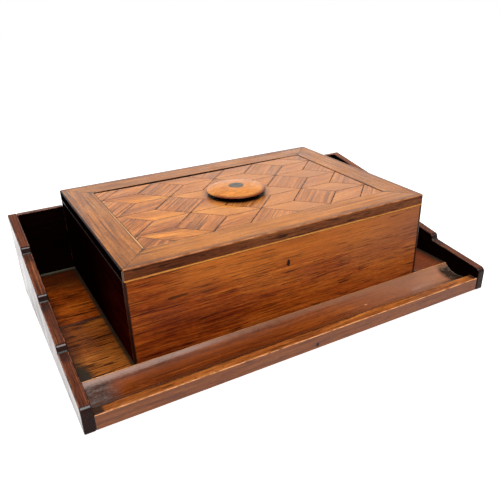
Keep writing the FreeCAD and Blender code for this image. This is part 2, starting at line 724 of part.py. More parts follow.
def bottle_cap(label, x):
    """The cap turns on the same axis as its collar's knuckles."""
    body = new_body(label, x, BOTTLE_Y, FLOOR)
    edge = f"({HINGE_Z} + size.cap_skirt)"
    crown = f"({edge} + size.cap_rise)"
    turn_profile(body, [
        ("0", HINGE_Z), ("size.cap_radius", HINGE_Z), ("size.cap_radius", edge),
        ("size.cap_crown_radius", crown), ("0", crown)])
    half_tab = "(size.cap_tab_width / 2)"
    sketch = new_sketch(body, "XY")
    sketch.setExpression("AttachmentOffset.Base.z", HINGE_Z)
    reach = "(size.cap_radius + size.cap_tab_length)"
    draw_outline(sketch, rectangle(f"-{half_tab}", f"-{reach}", half_tab,
                                   "-size.cap_radius / 2"))
    pad(body, sketch, "size.cap_tab_thickness")
    add_knuckle(body, "-size.cap_knuckle_length / 2", "size.cap_knuckle_length",
                "size.cap_radius / 2", HINGE_Z, f"{HINGE_Z} + size.cap_tab_thickness")
    bore_knuckles(body)
    keep(body)


def hinge_pin(label, x):
    length = ("(size.cap_knuckle_length + 2 * size.knuckle_gap"
              " + 2 * size.collar_knuckle_length)")
    body = new_body(label, x, f"{BOTTLE_Y} + {HINGE_Y}", f"{FLOOR} + {HINGE_Z}")
    sketch = new_sketch(body, "YZ")
    sketch.setExpression("AttachmentOffset.Base.z", f"-{length} / 2")
    draw_circle(sketch, "0", "0", "size.pin_radius")
    pad(body, sketch, length)
    keep(body)


tray_floor()
pen_trough()
gallery("left_gallery", LEFT)
gallery("right_gallery", f"-{LEFT} - size.gallery_thickness")
back_wing("left_back_wing", FLOOR_LEFT)
back_wing("right_back_wing", f"-{BOX_LEFT}")
box_front()
box_back()
box_side("box_left_side", BOX_LEFT, "(size.wall_thickness - size.housing_depth)")
box_side("box_right_side", f"-{BOX_LEFT} - size.wall_thickness", "0")
dividers()
mitres = mitre_blocks()
boxwood_edging(mitres)
lid_frame(mitres)
lid_lip(mitres)
lid_ground()
parquetry()
knob()
for side, place in (("left", BOTTLE_X), ("right", f"-{BOTTLE_X}")):
    ink_bottle(f"{side}_bottle", place)
    bottle_collar(f"{side}_collar", place)
    bottle_cap(f"{side}_cap", place)
    hinge_pin(f"{side}_hinge_pin", place)
doc.recompute()

for thing in doc.Objects:
    if "Invalid" in thing.State or "Error" in thing.State:
        raise RuntimeError(f"{thing.Label} is {thing.State}")
for piece in exported:
    if piece.Shape.isNull() or not piece.Shape.isValid():
        raise RuntimeError(f"{piece.Label} has no valid shape")

os.makedirs("parts", exist_ok=True)
for piece in exported:
    piece.Shape.exportStep(f"parts/{piece.Label}.step")
    print(piece.Label, len(piece.Shape.Solids), "solids", round(piece.Shape.Volume, 1))
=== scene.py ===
# %% [markdown]
# # An inkwell box for a writing desk
#
# A tray of polished hardwood with stepped boards at both ends and a hollowed trough for
# pens, and on it a box whose lid is laid with parquetry. Its shapes are boards, so the
# work is mostly in the finish: the figure of the wood, the film of old polish on it,
# softened edges, and dirt where a cloth never reaches.

import json
import math
import random

import bpy
from mathutils import Matrix, Vector

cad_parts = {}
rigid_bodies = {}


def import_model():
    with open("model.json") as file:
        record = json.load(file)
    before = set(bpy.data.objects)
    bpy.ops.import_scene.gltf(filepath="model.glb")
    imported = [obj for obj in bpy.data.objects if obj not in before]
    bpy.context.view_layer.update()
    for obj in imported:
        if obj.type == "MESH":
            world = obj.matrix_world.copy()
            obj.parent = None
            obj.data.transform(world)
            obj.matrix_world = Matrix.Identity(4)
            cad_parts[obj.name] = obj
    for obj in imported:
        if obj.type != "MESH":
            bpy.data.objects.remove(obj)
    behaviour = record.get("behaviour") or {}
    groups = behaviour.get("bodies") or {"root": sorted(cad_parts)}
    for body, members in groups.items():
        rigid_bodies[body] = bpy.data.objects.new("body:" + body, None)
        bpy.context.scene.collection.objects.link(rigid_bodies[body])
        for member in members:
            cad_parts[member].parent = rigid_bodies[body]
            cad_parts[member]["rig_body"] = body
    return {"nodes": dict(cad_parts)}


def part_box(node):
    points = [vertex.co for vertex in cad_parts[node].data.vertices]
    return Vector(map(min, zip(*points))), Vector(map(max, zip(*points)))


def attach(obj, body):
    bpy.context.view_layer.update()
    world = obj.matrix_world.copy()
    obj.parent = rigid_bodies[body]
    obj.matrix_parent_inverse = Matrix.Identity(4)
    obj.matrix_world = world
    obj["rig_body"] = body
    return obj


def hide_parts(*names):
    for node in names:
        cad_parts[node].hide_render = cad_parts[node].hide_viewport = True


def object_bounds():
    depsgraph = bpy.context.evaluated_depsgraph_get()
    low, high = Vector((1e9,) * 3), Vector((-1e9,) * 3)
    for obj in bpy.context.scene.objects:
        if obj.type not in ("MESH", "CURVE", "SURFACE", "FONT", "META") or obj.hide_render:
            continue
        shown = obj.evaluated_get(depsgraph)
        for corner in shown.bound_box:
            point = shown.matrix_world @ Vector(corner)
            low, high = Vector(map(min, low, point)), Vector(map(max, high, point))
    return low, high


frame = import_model()
cad_low, cad_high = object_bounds()
MM = 0.001
print("nodes", len(frame["nodes"]), "box in mm", [round(v / MM, 1) for v in cad_high - cad_low])

# %% [markdown]
# ## Camera
#
# The camera stands at the front left, about half a metre away, and looks down on the lid.
# Its heading, tilt and lens were worked out from the corners of the lid and the tray.

# %% Camera


def linked(name, data):
    piece = bpy.data.objects.new(name, data)
    bpy.context.scene.collection.objects.link(piece)
    return piece


CAMERA_AT = Vector((-205.4, -385.3, 248.4)) * MM
CAMERA_HEADING = math.radians(-29.0)
CAMERA_TILT = math.radians(62.83)
CAMERA_ROLL = math.radians(-1.32)
PICTURE_WIDTH, PICTURE_HEIGHT = 500, 492
CAMERA_LENS = 40.15
MIDDLE_OF_VIEW = Vector((256.7, 264.5))

camera_data = bpy.data.cameras.new("camera")
camera_data.sensor_width = 36
camera_data.lens = CAMERA_LENS
camera_data.shift_x = (PICTURE_WIDTH / 2 - MIDDLE_OF_VIEW.x) / PICTURE_WIDTH
camera_data.shift_y = (MIDDLE_OF_VIEW.y - PICTURE_HEIGHT / 2) / PICTURE_WIDTH
camera_data.clip_start = 0.01
camera = linked("camera", camera_data)
camera.matrix_world = (
    Matrix.Translation(CAMERA_AT)
    @ Matrix.Rotation(CAMERA_HEADING, 4, "Z")
    @ Matrix.Rotation(CAMERA_TILT, 4, "X")
    @ Matrix.Rotation(CAMERA_ROLL, 4, "Z")
)
bpy.context.scene.camera = camera

# %% [markdown]
# ## Nodes for a material
#
# A material is a chain of nodes, one for each small step. These helpers add a node and
# join its inputs, so that a finish reads as a list of what it is made of.

# %% Helpers for materials


class Finish:
    """A new material, or a world, whose nodes are added one at a time."""

    def __init__(self, name, shift=(0, 0, 0), kind="materials", shader="Principled BSDF"):
        self.material = getattr(bpy.data, kind).new(name)
        self.material.use_nodes = True
        self.tree = self.material.node_tree
        self.shader = self.tree.nodes[shader]
        self.shift = shift

    def add(self, kind, settings=None, **inputs):
        """One node. Its settings are attributes, its inputs numbers or other outputs."""
        node = self.tree.nodes.new("ShaderNode" + kind)
        for name, value in (settings or {}).items():
            setattr(node, name, value)
        self.feed(node, **inputs)
        return node

    def feed(self, node, **inputs):
        for name, value in inputs.items():
            self.join(node, name.replace("_", " "), value)

    def look(self, **inputs):
        """Sets or joins the inputs of the material's own shader."""
        self.feed(self.shader, **inputs)

    def join(self, node, name, value):
        socket = node.inputs[int(name)] if name.isdigit() else node.inputs[name]
        if isinstance(value, bpy.types.NodeSocket):
            self.tree.links.new(value, socket)
        else:
            socket.default_value = value

    def join_all(self, node, *values):
        for index, value in enumerate(values):
            self.join(node, str(index), value)

    def place(self, scale=(1, 1, 1), shift=(0, 0, 0)):
        """Where a point of the piece is, in metres, stretched and moved."""
        here = self.add("TexCoord").outputs["Object"]
        mapping = self.add("Mapping", Vector=here, Scale=scale, Location=shift)
        return mapping.outputs["Vector"]

    def part(self, axis):
        """How far along one axis a point of the piece is, in metres."""
        return self.add("SeparateXYZ", Vector=self.place()).outputs[axis]

    def length(self, where):
        node = self.add("VectorMath", {"operation": "LENGTH"}, Vector=where)
        return node.outputs["Value"]

    def thrice(self, value):
        return self.add("CombineXYZ", X=value, Y=value, Z=value).outputs["Vector"]

    def noise(self, where, detail=2.0, roughness=0.5, warp=0.0):
        node = self.add("TexNoise", Vector=where, Scale=1.0, Detail=detail,
                        Roughness=roughness, Distortion=warp)
        return node.outputs["Fac"]

    def spots(self, scale, *settings, shift=(0, 0, 0)):
        """Noise with the same scale every way, or with one for each axis."""
        scale = scale if isinstance(scale, tuple) else (scale, scale, scale)
        return self.noise(self.place(scale, shift), *settings)

    def math(self, operation, first, second=0.0, clamp=False):
        node = self.add("Math", {"operation": operation, "use_clamp": clamp})
        self.join_all(node, first, second)
        return node.outputs["Value"]

    def times(self, first, second):
        return self.math("MULTIPLY", first, second)

    def plus(self, first, second):
        return self.math("ADD", first, second)

    def minus(self, first, second, clamp=False):
        return self.math("SUBTRACT", first, second, clamp)

    def most(self, *values):
        """The largest of the values."""
        largest, *others = values
        for value in others:
            largest = self.math("MAXIMUM", largest, value)
        return largest

    def span(self, value, low, high, to_low=0.0, to_high=1.0, smooth=True):
        """Value brought from the range low to high into the range to_low to to_high."""
        kind = "SMOOTHSTEP" if smooth else "LINEAR"
        node = self.add("MapRange", {"interpolation_type": kind}, Value=value,
                        From_Min=low, From_Max=high, To_Min=to_low, To_Max=to_high)
        return node.outputs["Result"]

    def rise(self, axis, low, high, to_low=0.0, to_high=1.0, smooth=True):
        """The same, with the range as two places in mm on an axis."""
        return self.span(self.part(axis), low * MM, high * MM, to_low, to_high, smooth)

    def ramp(self, value, *stops):
        """A colour ramp from (position, colour) stops."""
        node = self.add("ValToRGB", Fac=value)
        elements = node.color_ramp.elements
        while len(elements) < len(stops):
            elements.new(0.5)
        for element, (position, colour) in zip(elements, stops):
            element.position = position
            element.color = (*colour, 1)
        return node.outputs["Color"]

    def blend(self, share, first, second, kind="MIX"):
        node = self.add("Mix", {"data_type": "RGBA", "blend_type": kind})
        for index, value in ((0, share), (6, first), (7, second)):
            if isinstance(value, tuple):
                value = (*value, 1)
            self.join(node, str(index), value)
        return node.outputs[2]

    def tint(self, share, colour, most=None):
        """Blends a share, or share times most, of a colour over the figure."""
        share = share if most is None else self.times(share, most)
        self.colour = self.blend(share, self.colour, colour)

    def painted(self, name):
        return self.add("Attribute", {"attribute_name": name}).outputs["Fac"]

    def bump(self, height, distance, strength=1.0):
        node = self.add("Bump", Height=height, Distance=distance, Strength=strength)
        return node.outputs["Normal"]


# %% [markdown]
# ## Polished wood
#
# A picture of wood wrapped round a board would show the same knots twice and no end
# grain. Here the wood is a solid pattern: noise drawn out along the grain, so a sawn end
# shows dots where a side shows lines, and each board is cut from another place in it.

# %% Wood

ALONG = {"x": (1, 0, 0), "y": (0, 1, 0), "z": (0, 0, 1)}


def wood(name, along, colours, seed, pores=0.5, turn=0.0, shade=None, streaks=1.0,
         dash=(65, 1050), line=(14, 600), open_grain=0.0, upright=1.0, ripple=0.05):
    """Figure of a board with its grain along one axis, turned about Z by an angle."""
    shift = tuple(0.37 * seed * k for k in (1.0, 1.7, 2.3))
    made = Finish(name, shift)
    dark, middle, light = colours

    def stretched(lengthwise, across):
        here = made.add("TexCoord").outputs["Object"]
        turned_about = made.add("Mapping", Vector=here, Rotation=(0, 0, -turn))
        scale = [lengthwise if one else across for one in ALONG[along]]
        scale[2] *= upright
        mapping = made.add("Mapping", Vector=turned_about.outputs["Vector"],
                           Scale=scale, Location=shift)
        return mapping.outputs["Vector"]

    sway = made.thrice(made.noise(stretched(6, 30), 2))
    bent = made.add("VectorMath", {"operation": "MULTIPLY_ADD"})
    made.join_all(bent, sway, (3.0, 3.0, 3.0), stretched(*line))
    lines = made.noise(bent.outputs["Vector"], 5, 0.68)
    clouds = made.noise(stretched(11, 34), 3, 0.55)
    line_tone = made.times(made.minus(lines, 0.5), 0.75 * streaks)
    tone = made.plus(line_tone, made.times(clouds, 0.62))
    tone = made.plus(tone, 0.31)
    if shade is not None:
        tone = made.plus(tone, shade(made))
    colour = made.ramp(tone, (0.4, dark), (0.62, middle), (0.86, light))
    dashes = made.noise(stretched(*dash), 1, 0.5)
    patch = made.noise(stretched(14, 60), 2)
    pore = made.span(made.plus(dashes, made.times(patch, 0.17)),
                     0.672 - open_grain, 0.715 - open_grain)
    pore_colour = tuple(0.12 * part for part in dark)
    colour = made.blend(made.times(pore, pores), colour, pore_colour)
    fibre = made.noise(stretched(240, 1300), 2, 0.6)
    fibre_tone = made.span(fibre, 0.3, 0.7, 0.7, 1.26, smooth=False)
    rings = made.span(made.noise(stretched(16, 470), 1), 0.36, 0.64, 1 - ripple, 1 + ripple)
    fibre_tone = made.times(fibre_tone, rings)
    made.colour = made.blend(1.0, colour, made.thrice(fibre_tone), "MULTIPLY")
    made.pore = pore
    return made


def polish(made, low=0.22, high=0.42, coat=0.15, specular=0.2, depth=0.3, coat_rough=0.12):
    """The film of polish over a figure: smears of roughness, open pores and a clear coat."""
    hand = made.spots(45, 4, 0.6, shift=made.shift)
    level = made.minus(made.times(hand, 0.35), made.times(made.pore, 0.5))
    made.look(Base_Color=made.colour, Roughness=made.span(hand, 0.32, 0.68, low, high),
              Normal=made.bump(level, depth * MM, 0.4), Coat_Weight=coat,
              Coat_Roughness=coat_rough, Specular_IOR_Level=specular)
    return made


def near(made, axis, place, reach, most=None):
    """1, or most, at a plane across an axis, and 0 from a distance away from it."""
    gap = made.math("ABSOLUTE", made.minus(made.part(axis), place * MM))
    closeness = made.span(gap, 0.0, reach * MM, 1.0, 0.0)
    return closeness if most is None else made.times(closeness, most)


def grime(made, closeness, colour=(0.03, 0.028, 0.018), most=0.9):
    """A blotchy tint, thickest where closeness is 1: wax and dust that a cloth doesn't reach, and
    in some places painted shade and a painted sheen.
    """
    blots = made.spots(170, 5, 0.72, shift=made.shift)
    share = made.span(made.plus(closeness, made.times(blots, 0.5)), 0.55, 1.15)
    made.tint(share, colour, most)


def dent(made, middle, half):
    """1 in a small ragged mark with its middle and half sizes in mm, and 0 round it."""
    spread = made.times(made.spots(700, 3), 1.8)
    for axis, place, size in zip("XYZ", middle, half):
        if place is not None:
            away = made.math("DIVIDE", made.minus(made.part(axis), place * MM), size * MM)
            spread = made.plus(spread, made.times(away, away))
    return made.span(spread, 1.1, 1.8, 1.0, 0.0)


BOX_RED = (0.125, 0.012, 0.002), (0.37, 0.071, 0.007), (0.56, 0.152, 0.018)
# BOX_SHADED is painted shade for the box's left side, far darker than its own wood.
BOX_SHADED = (0.02, 0.0008, 0.0003), (0.065, 0.0035, 0.001), (0.12, 0.012, 0.003)
BOX_INNER = (0.1, 0.016, 0.003), (0.26, 0.062, 0.01), (0.4, 0.12, 0.022)
# Painted shade: a near-black palette for faces that the light doesn't reach.
SHADE_BLACK = (0.002, 0.0005, 0.0003), (0.005, 0.001, 0.0006), (0.012, 0.003, 0.002)
FLOOR_RED = (0.06, 0.007, 0.001), (0.26, 0.046, 0.003), (0.52, 0.135, 0.01)
FLOOR_GOLD = (0.08, 0.013, 0.002), (0.245, 0.061, 0.007), (0.44, 0.145, 0.023)
TROUGH_RED = (0.055, 0.008, 0.002), (0.2, 0.04, 0.006), (0.38, 0.1, 0.016)
RAIL_BROWN = (0.1, 0.022, 0.005), (0.34, 0.095, 0.018), (0.56, 0.21, 0.048)
LID_TAN = (0.14, 0.04, 0.006), (0.4, 0.127, 0.017), (0.59, 0.23, 0.036)
EDGE_BROWN = (0.045, 0.009, 0.003), (0.15, 0.037, 0.01), (0.25, 0.08, 0.024)
PLUM = (0.028, 0.006, 0.003), (0.115, 0.028, 0.011), (0.33, 0.105, 0.034)
NIGHT = (0.006, 0.0016, 0.001), (0.018, 0.0045, 0.003), (0.045, 0.012, 0.007)
DUSK = (0.012, 0.003, 0.002), (0.034, 0.009, 0.006), (0.08, 0.022, 0.013)
SQUARE_BROWN = (0.24, 0.066, 0.013), (0.52, 0.165, 0.03), (0.69, 0.26, 0.054)
ROSE_TAN = (0.28, 0.072, 0.012), (0.58, 0.19, 0.034), (0.78, 0.3, 0.06)
AMBER = (0.28, 0.074, 0.008), (0.66, 0.21, 0.02), (0.88, 0.35, 0.044)
HONEY = (0.48, 0.15, 0.018), (0.74, 0.28, 0.048), (0.86, 0.39, 0.09)
# Painted shade: the boxwood on the box's left side.
HONEY_IN_SHADE = (0.01, 0.003, 0.001), (0.022, 0.007, 0.002), (0.04, 0.014, 0.004)
KNOB_TAN = (0.44, 0.124, 0.026), (0.67, 0.24, 0.05), (0.8, 0.35, 0.092)
PLAIN_INNER = (0.13, 0.05, 0.022), (0.28, 0.13, 0.06), (0.4, 0.21, 0.105)


def worn(name, seed, dark, light, much=0.42, coat=0.3):
    """An arris rubbed by hands and cloths: bright in places, dark between them. The same mottled
    finish also gives some arrises painted shade, and the lid's arris a painted highlight.
    """
    made = Finish(name, (0.21 * seed, 0.5, 0.9))
    rub = made.spots(90, 5, 0.7, shift=made.shift)
    made.colour = made.ramp(rub, (much, dark), (much + 0.18, light))
    made.pore = made.span(rub, 0.5, 0.7)
    return polish(made, 0.25, 0.45, coat, 0.4 * coat / 0.3)


# %% [markdown]
# ## Softened edges
#
# Sharp edges give a model away, because on real wood years of dusters leave a narrow round
# that catches the light. Each board is copied, its loose triangles are joined into faces,
# and a bevel rounds its sharp edges. The round gets a material of its own.

# %% Dressing a board


def alone(piece):
    """Selects one piece and nothing else."""
    bpy.ops.object.select_all(action="DESELECT")
    piece.select_set(True)
    bpy.context.view_layer.objects.active = piece


def edit(piece, everything=True, kind="FACE"):
    alone(piece)
    bpy.ops.object.mode_set(mode="EDIT")
    bpy.ops.mesh.select_mode(type=kind)
    if everything:
        bpy.ops.mesh.select_all(action="SELECT")


def done():
    bpy.ops.object.mode_set(mode="OBJECT")


def close(piece, gap):
    """Joins points that are nearer than a gap in mm, and turns the faces outwards."""
    edit(piece)
    bpy.ops.mesh.remove_doubles(threshold=gap * MM)
    bpy.ops.mesh.normals_make_consistent(inside=False)
    done()


def unmark(piece):
    for one in (*piece.data.vertices, *piece.data.edges, *piece.data.polygons):
        one.select = False


def pick(piece, wanted):
    """Selects the faces for which wanted(middle in mm, normal) is true, for editing."""
    unmark(piece)
    for face in piece.data.polygons:
        face.select = bool(wanted(face.center / MM, face.normal))
    edit(piece, everything=False)


def apply(piece, kind, **settings):
    """Adds one modifier and applies it."""
    alone(piece)
    modifier = piece.modifiers.new(kind.lower(), kind)
    for name, value in settings.items():
        setattr(modifier, name, value)
    bpy.ops.object.modifier_apply(modifier=modifier.name)


def started(name, primitive, **settings):
    """A new piece from a mesh primitive."""
    bpy.ops.object.select_all(action="DESELECT")
    primitive(**settings)
    piece = bpy.context.active_object
    piece.name = name
    return piece


def even_shading(piece):
    alone(piece)
    bpy.ops.object.shade_smooth()
    apply(piece, "WEIGHTED_NORMAL", weight=80, keep_sharp=False)


BODY, ARRIS = 0, 1


def cover(piece, **finishes):
    """Gives a piece more finishes, and returns the place of each in its list."""
    places = {}
    for name, made in finishes.items():
        places[name] = len(piece.data.materials)
        piece.data.materials.append(made.material)
    return places


def stand_for(piece, *nodes):
    """The piece takes the place and the body of CAD nodes, which are hidden."""
    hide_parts(*nodes)
    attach(piece, frame["nodes"][nodes[0]]["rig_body"])
    print("made", piece.name, "with", len(piece.data.polygons), "faces for", *nodes)
    return piece


def grain(node):
    """The axis that the grain of a board runs along, which is its longer one."""
    low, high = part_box(node)
    return "x" if high.x - low.x > high.y - low.y else "y"


def whole_copy(node, name):
    """A copy of a CAD piece whose triangles are joined into whole faces."""
    piece = linked(name, frame["nodes"][node].data.copy())
    piece.data.materials.clear()
    edit(piece)
    bpy.ops.mesh.customdata_custom_splitnormals_clear()
    bpy.ops.mesh.remove_doubles(threshold=0.002 * MM)
    bpy.ops.mesh.dissolve_limited(angle_limit=math.radians(0.5))
    done()
    return piece


def dressed(node, made, soften=0.5, edge=None):
    """A board with its edges rounded, in the place of its CAD node."""
    piece = whole_copy(node, node + "_board")
    cover(piece, body=made)
    if edge is not None:
        cover(piece, edge=edge)
    apply(piece, "BEVEL", width=soften * MM, segments=3, limit_method="ANGLE",
          angle_limit=math.radians(32), use_clamp_overlap=True,
          material=-1 if edge is None else ARRIS)
    even_shading(piece)
    return stand_for(piece, node)


# %% [markdown]
# ## The tray
#
# The end boards step down towards the writer by three low risers. They are the darkest
# wood, and sleeves have rubbed their rounded tops; a painted sheen makes the tops paler
# towards the back, and the faces turned into the bays are painted dark as shade. The floor
# is two boards with a joint across the bay beside the box, and grime has gathered where
# floor and walls meet, under a wider painted shade towards the end boards and the back.

# %% End boards and back wings


def paler_back(made):
    """Painted sheen: the tops are made palest where they are highest, at the back."""
    return made.rise("Y", -110, 90, -0.05, 0.04)


RISER_FEET = (27.1, 40.4, 58.6)
RISER_PLACES = (-52.0, -1.2, 49.6)
RISER_REACH, FOOT_HEIGHT = 4.5, 1.0
NOSE_BACK = -104.5
glint = polish(wood("shoulder_glint", "x", DUSK, 6, 0.2), 0.15, 0.3, 0.9, 0.4, coat_rough=0.2)
glint.look(Coat_IOR=1.6)
# A mottled grey line at the foot of each riser.
foot_grey = worn("foot_grey", 7, (0.012, 0.008, 0.006), (0.16, 0.13, 0.11), 0.48)
# Painted shade for the arrises on the faces turned into the bays.
dark_arris = worn("dark_arris", 8, (0.01, 0.004, 0.003), (0.06, 0.022, 0.014), 0.5, 0.1)
dark_edge = worn("rubbed_plum", 1, (0.03, 0.01, 0.006), (0.26, 0.09, 0.045))


def end_board_place(face, outward, stepped, places):
    """Which finish one face of an end board or a wing gets."""
    out, normal = face.normal.dot(outward), face.normal
    # Faces turned into the bays get painted shade.
    if abs(out) > 0.95:
        return places["outer" if out > 0 else "inner"]
    if not stepped:
        return face.material_index
    middle = face.center / MM
    if middle.y < NOSE_BACK:
        if 0.62 < normal.z < 0.93:
            return places["glint"]
        return places["side"] if normal.z < 0.9 else BODY
    if normal.z > 0.1 and normal.y < -0.2:
        height = min((middle.z - foot for foot in RISER_FEET), key=abs)
        if min(abs(middle.y - place) for place in RISER_PLACES) >= RISER_REACH:
            return face.material_index
        if height < FOOT_HEIGHT:
            return places["foot"]
        return places["glint" if normal.z > 0.5 and normal.y < -0.42 else "side"]
    # Arrises turned into the bays get painted shade.
    if face.material_index == ARRIS and out < -0.3:
        return places["dark_arris"]
    return face.material_index


for seed, node in enumerate(("left_gallery", "right_gallery", "left_back_wing",
                             "right_back_wing"), start=11):
    stepped, along = "gallery" in node, grain(node)
    top_wood = wood(node + "_plum", along, PLUM, seed, 0.5, streaks=1.2, dash=(20, 1100),
                    line=(7, 900), upright=0.05, shade=paler_back)
    if stepped:
        # A darker band on the top just in front of each riser.
        for place in RISER_PLACES:
            soot = near(top_wood, "Y", place - 5, 13, 0.9)
            grime(top_wood, soot, (0.02, 0.007, 0.005), 0.75)
    polish(top_wood, 0.2, 0.34, 0.3, 0.2)
    side_wood = polish(wood(node + "_dusk", along, NIGHT, seed, 0.5), 0.25, 0.45, 0.08, 0.06)
    outer_wood = polish(wood(node + "_outer", along, PLUM, seed, 0.4, streaks=1.1), 0.15, 0.3,
                        0.22, 0.15, depth=0.01, coat_rough=0.1)
    # Painted shade: the faces turned into the bays are dark, near black on the right board and the
    # wings.
    inner = DUSK if node == "left_gallery" else SHADE_BLACK
    inner_shade_wood = polish(wood(node + "_inner", along, inner, seed, 0.5), 0.3, 0.5, 0.0, 0.0)
    board = dressed(node, top_wood, 0.9, dark_edge)
    places = cover(board, side=side_wood, glint=glint, foot=foot_grey, outer=outer_wood,
                   inner=inner_shade_wood, dark_arris=dark_arris)
    outward = Vector((0, 1, 0) if along == "x" else (math.copysign(1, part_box(node)[0].x), 0, 0))
    for face in board.data.polygons:
        face.material_index = end_board_place(face, outward, stepped, places)

# %% Floor boards
floor_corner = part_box("front_floor_board")[1]
BAY_OUTER = floor_corner.x / MM
BOARD_JOINT = floor_corner.y / MM
BOX_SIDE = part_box("box_right_side")[1].x / MM
WING_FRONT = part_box("left_back_wing")[0].y / MM
TROUGH_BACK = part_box("pen_trough")[1].y / MM
RAIL_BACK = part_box("pen_trough")[0].y / MM


def bay_dirt(made):
    """How near a point of the floor is to the end board, the box or the back."""
    sides = [near(made, "X", place, reach) for place, reach in (
        (BAY_OUTER, 9), (-BOX_SIDE, 6), (BOX_SIDE, 4), (-BAY_OUTER, 6))]
    corner = made.times(near(made, "X", -BAY_OUTER, 20), near(made, "Y", TROUGH_BACK, 42))
    return made.most(near(made, "Y", WING_FRONT, 14), *sides, made.times(corner, 1.25))


def bay_soot(made):
    """Painted shade: a wide soft darkening towards the end board and the back of the bay."""
    sides = [near(made, "X", place, 24) for place in (-BAY_OUTER, BAY_OUTER)]
    corner = near(made, "Y", WING_FRONT, 85, 1.5)
    return made.times(made.most(corner, near(made, "Y", BOARD_JOINT, 7), *sides), 0.75)


joint_edge = worn("joint_edge", 8, (0.006, 0.003, 0.002), (0.05, 0.018, 0.008), 0.5)
lip_edge = worn("floor_lip", 2, (0.3, 0.08, 0.02), (0.8, 0.34, 0.1), 0.3)
for seed, (node, colours, open_grain) in enumerate((
        ("front_floor_board", FLOOR_GOLD, 0.012), ("rear_floor_board", FLOOR_RED, 0.035)),
        start=5):
    made = wood(node + "_gold", "x", colours, seed, 0.9, dash=(60, 1050), line=(24, 600),
                open_grain=open_grain)
    made.tint(made.rise("X", 80, 140, 0.0, 0.8), (0.15, 0.036, 0.018))
    # Painted shade over the bay.
    grime(made, bay_soot(made), (0.03, 0.006, 0.002), 0.85)
    grime(made, bay_dirt(made), (0.022, 0.018, 0.011), 0.92)
    grime(made, near(made, "Y", WING_FRONT, 8), (0.12, 0.11, 0.075), 0.85)
    board = dressed(node, polish(made, coat=0.06), 0.3, joint_edge)
    places = cover(board, lip=lip_edge)
    for face in board.data.polygons:
        if face.material_index == ARRIS and abs(face.center.y / MM - TROUGH_BACK) < 1:
            face.material_index = places["lip"]

# %% [markdown]
# ## The pen trough
#
# A round hollow ploughed along the front. The CAD solid has it in a few flats. Here one
# edge is laid along the trough and spun about the hollow's own axis, and the block below
# is pulled down from the hollow's rim.

# %% Pen trough
trough_low, trough_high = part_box("pen_trough")
COVE_DEPTH = 6.1 * MM
COVE_STEPS = 36
cove_width = trough_high.y - trough_low.y
cove_radius = ((cove_width / 2) ** 2 + COVE_DEPTH ** 2) / (2 * COVE_DEPTH)
cove_turn = 2 * math.asin(cove_width / 2 / cove_radius)
cove_axis = Vector((0, (trough_low.y + trough_high.y) / 2,
                    trough_high.z - COVE_DEPTH + cove_radius))

trough = started("pen_trough_moulding", bpy.ops.mesh.primitive_plane_add, size=1)
unmark(trough)
for vertex, x, spare in zip(trough.data.vertices, (trough_low.x, trough_high.x) * 2,
                            (False, False, True, True)):
    vertex.co = (x, trough_low.y, trough_high.z)
    vertex.select = spare
edit(trough, everything=False, kind="VERT")
bpy.ops.mesh.delete(type="VERT")
bpy.ops.mesh.select_all(action="SELECT")
bpy.ops.mesh.spin(steps=COVE_STEPS, angle=cove_turn, center=cove_axis, axis=(-1, 0, 0))
bpy.ops.mesh.select_all(action="SELECT")
bpy.ops.mesh.region_to_loop()
bpy.ops.mesh.extrude_region_move()
bpy.ops.transform.resize(value=(1, 1, 0), center_override=(0, 0, trough_low.z))
bpy.ops.mesh.edge_face_add()
done()
close(trough, 0.002)


def lighter_right(made):
    """Raises the tone of the hollow towards its right end."""
    return made.plus(made.rise("X", -150, -50, -0.09, 0.0), made.rise("X", -40, 120, 0.0, 0.15))


def fading_right(made):
    """1 along the left half of the hollow's front rim, and little at its right end."""
    return made.rise("X", 0, 120, 1.0, 0.35)


CHIP_AT, CHIP_HALF = (63.9, -83.9, None), (2.0, 0.6, 1.0)


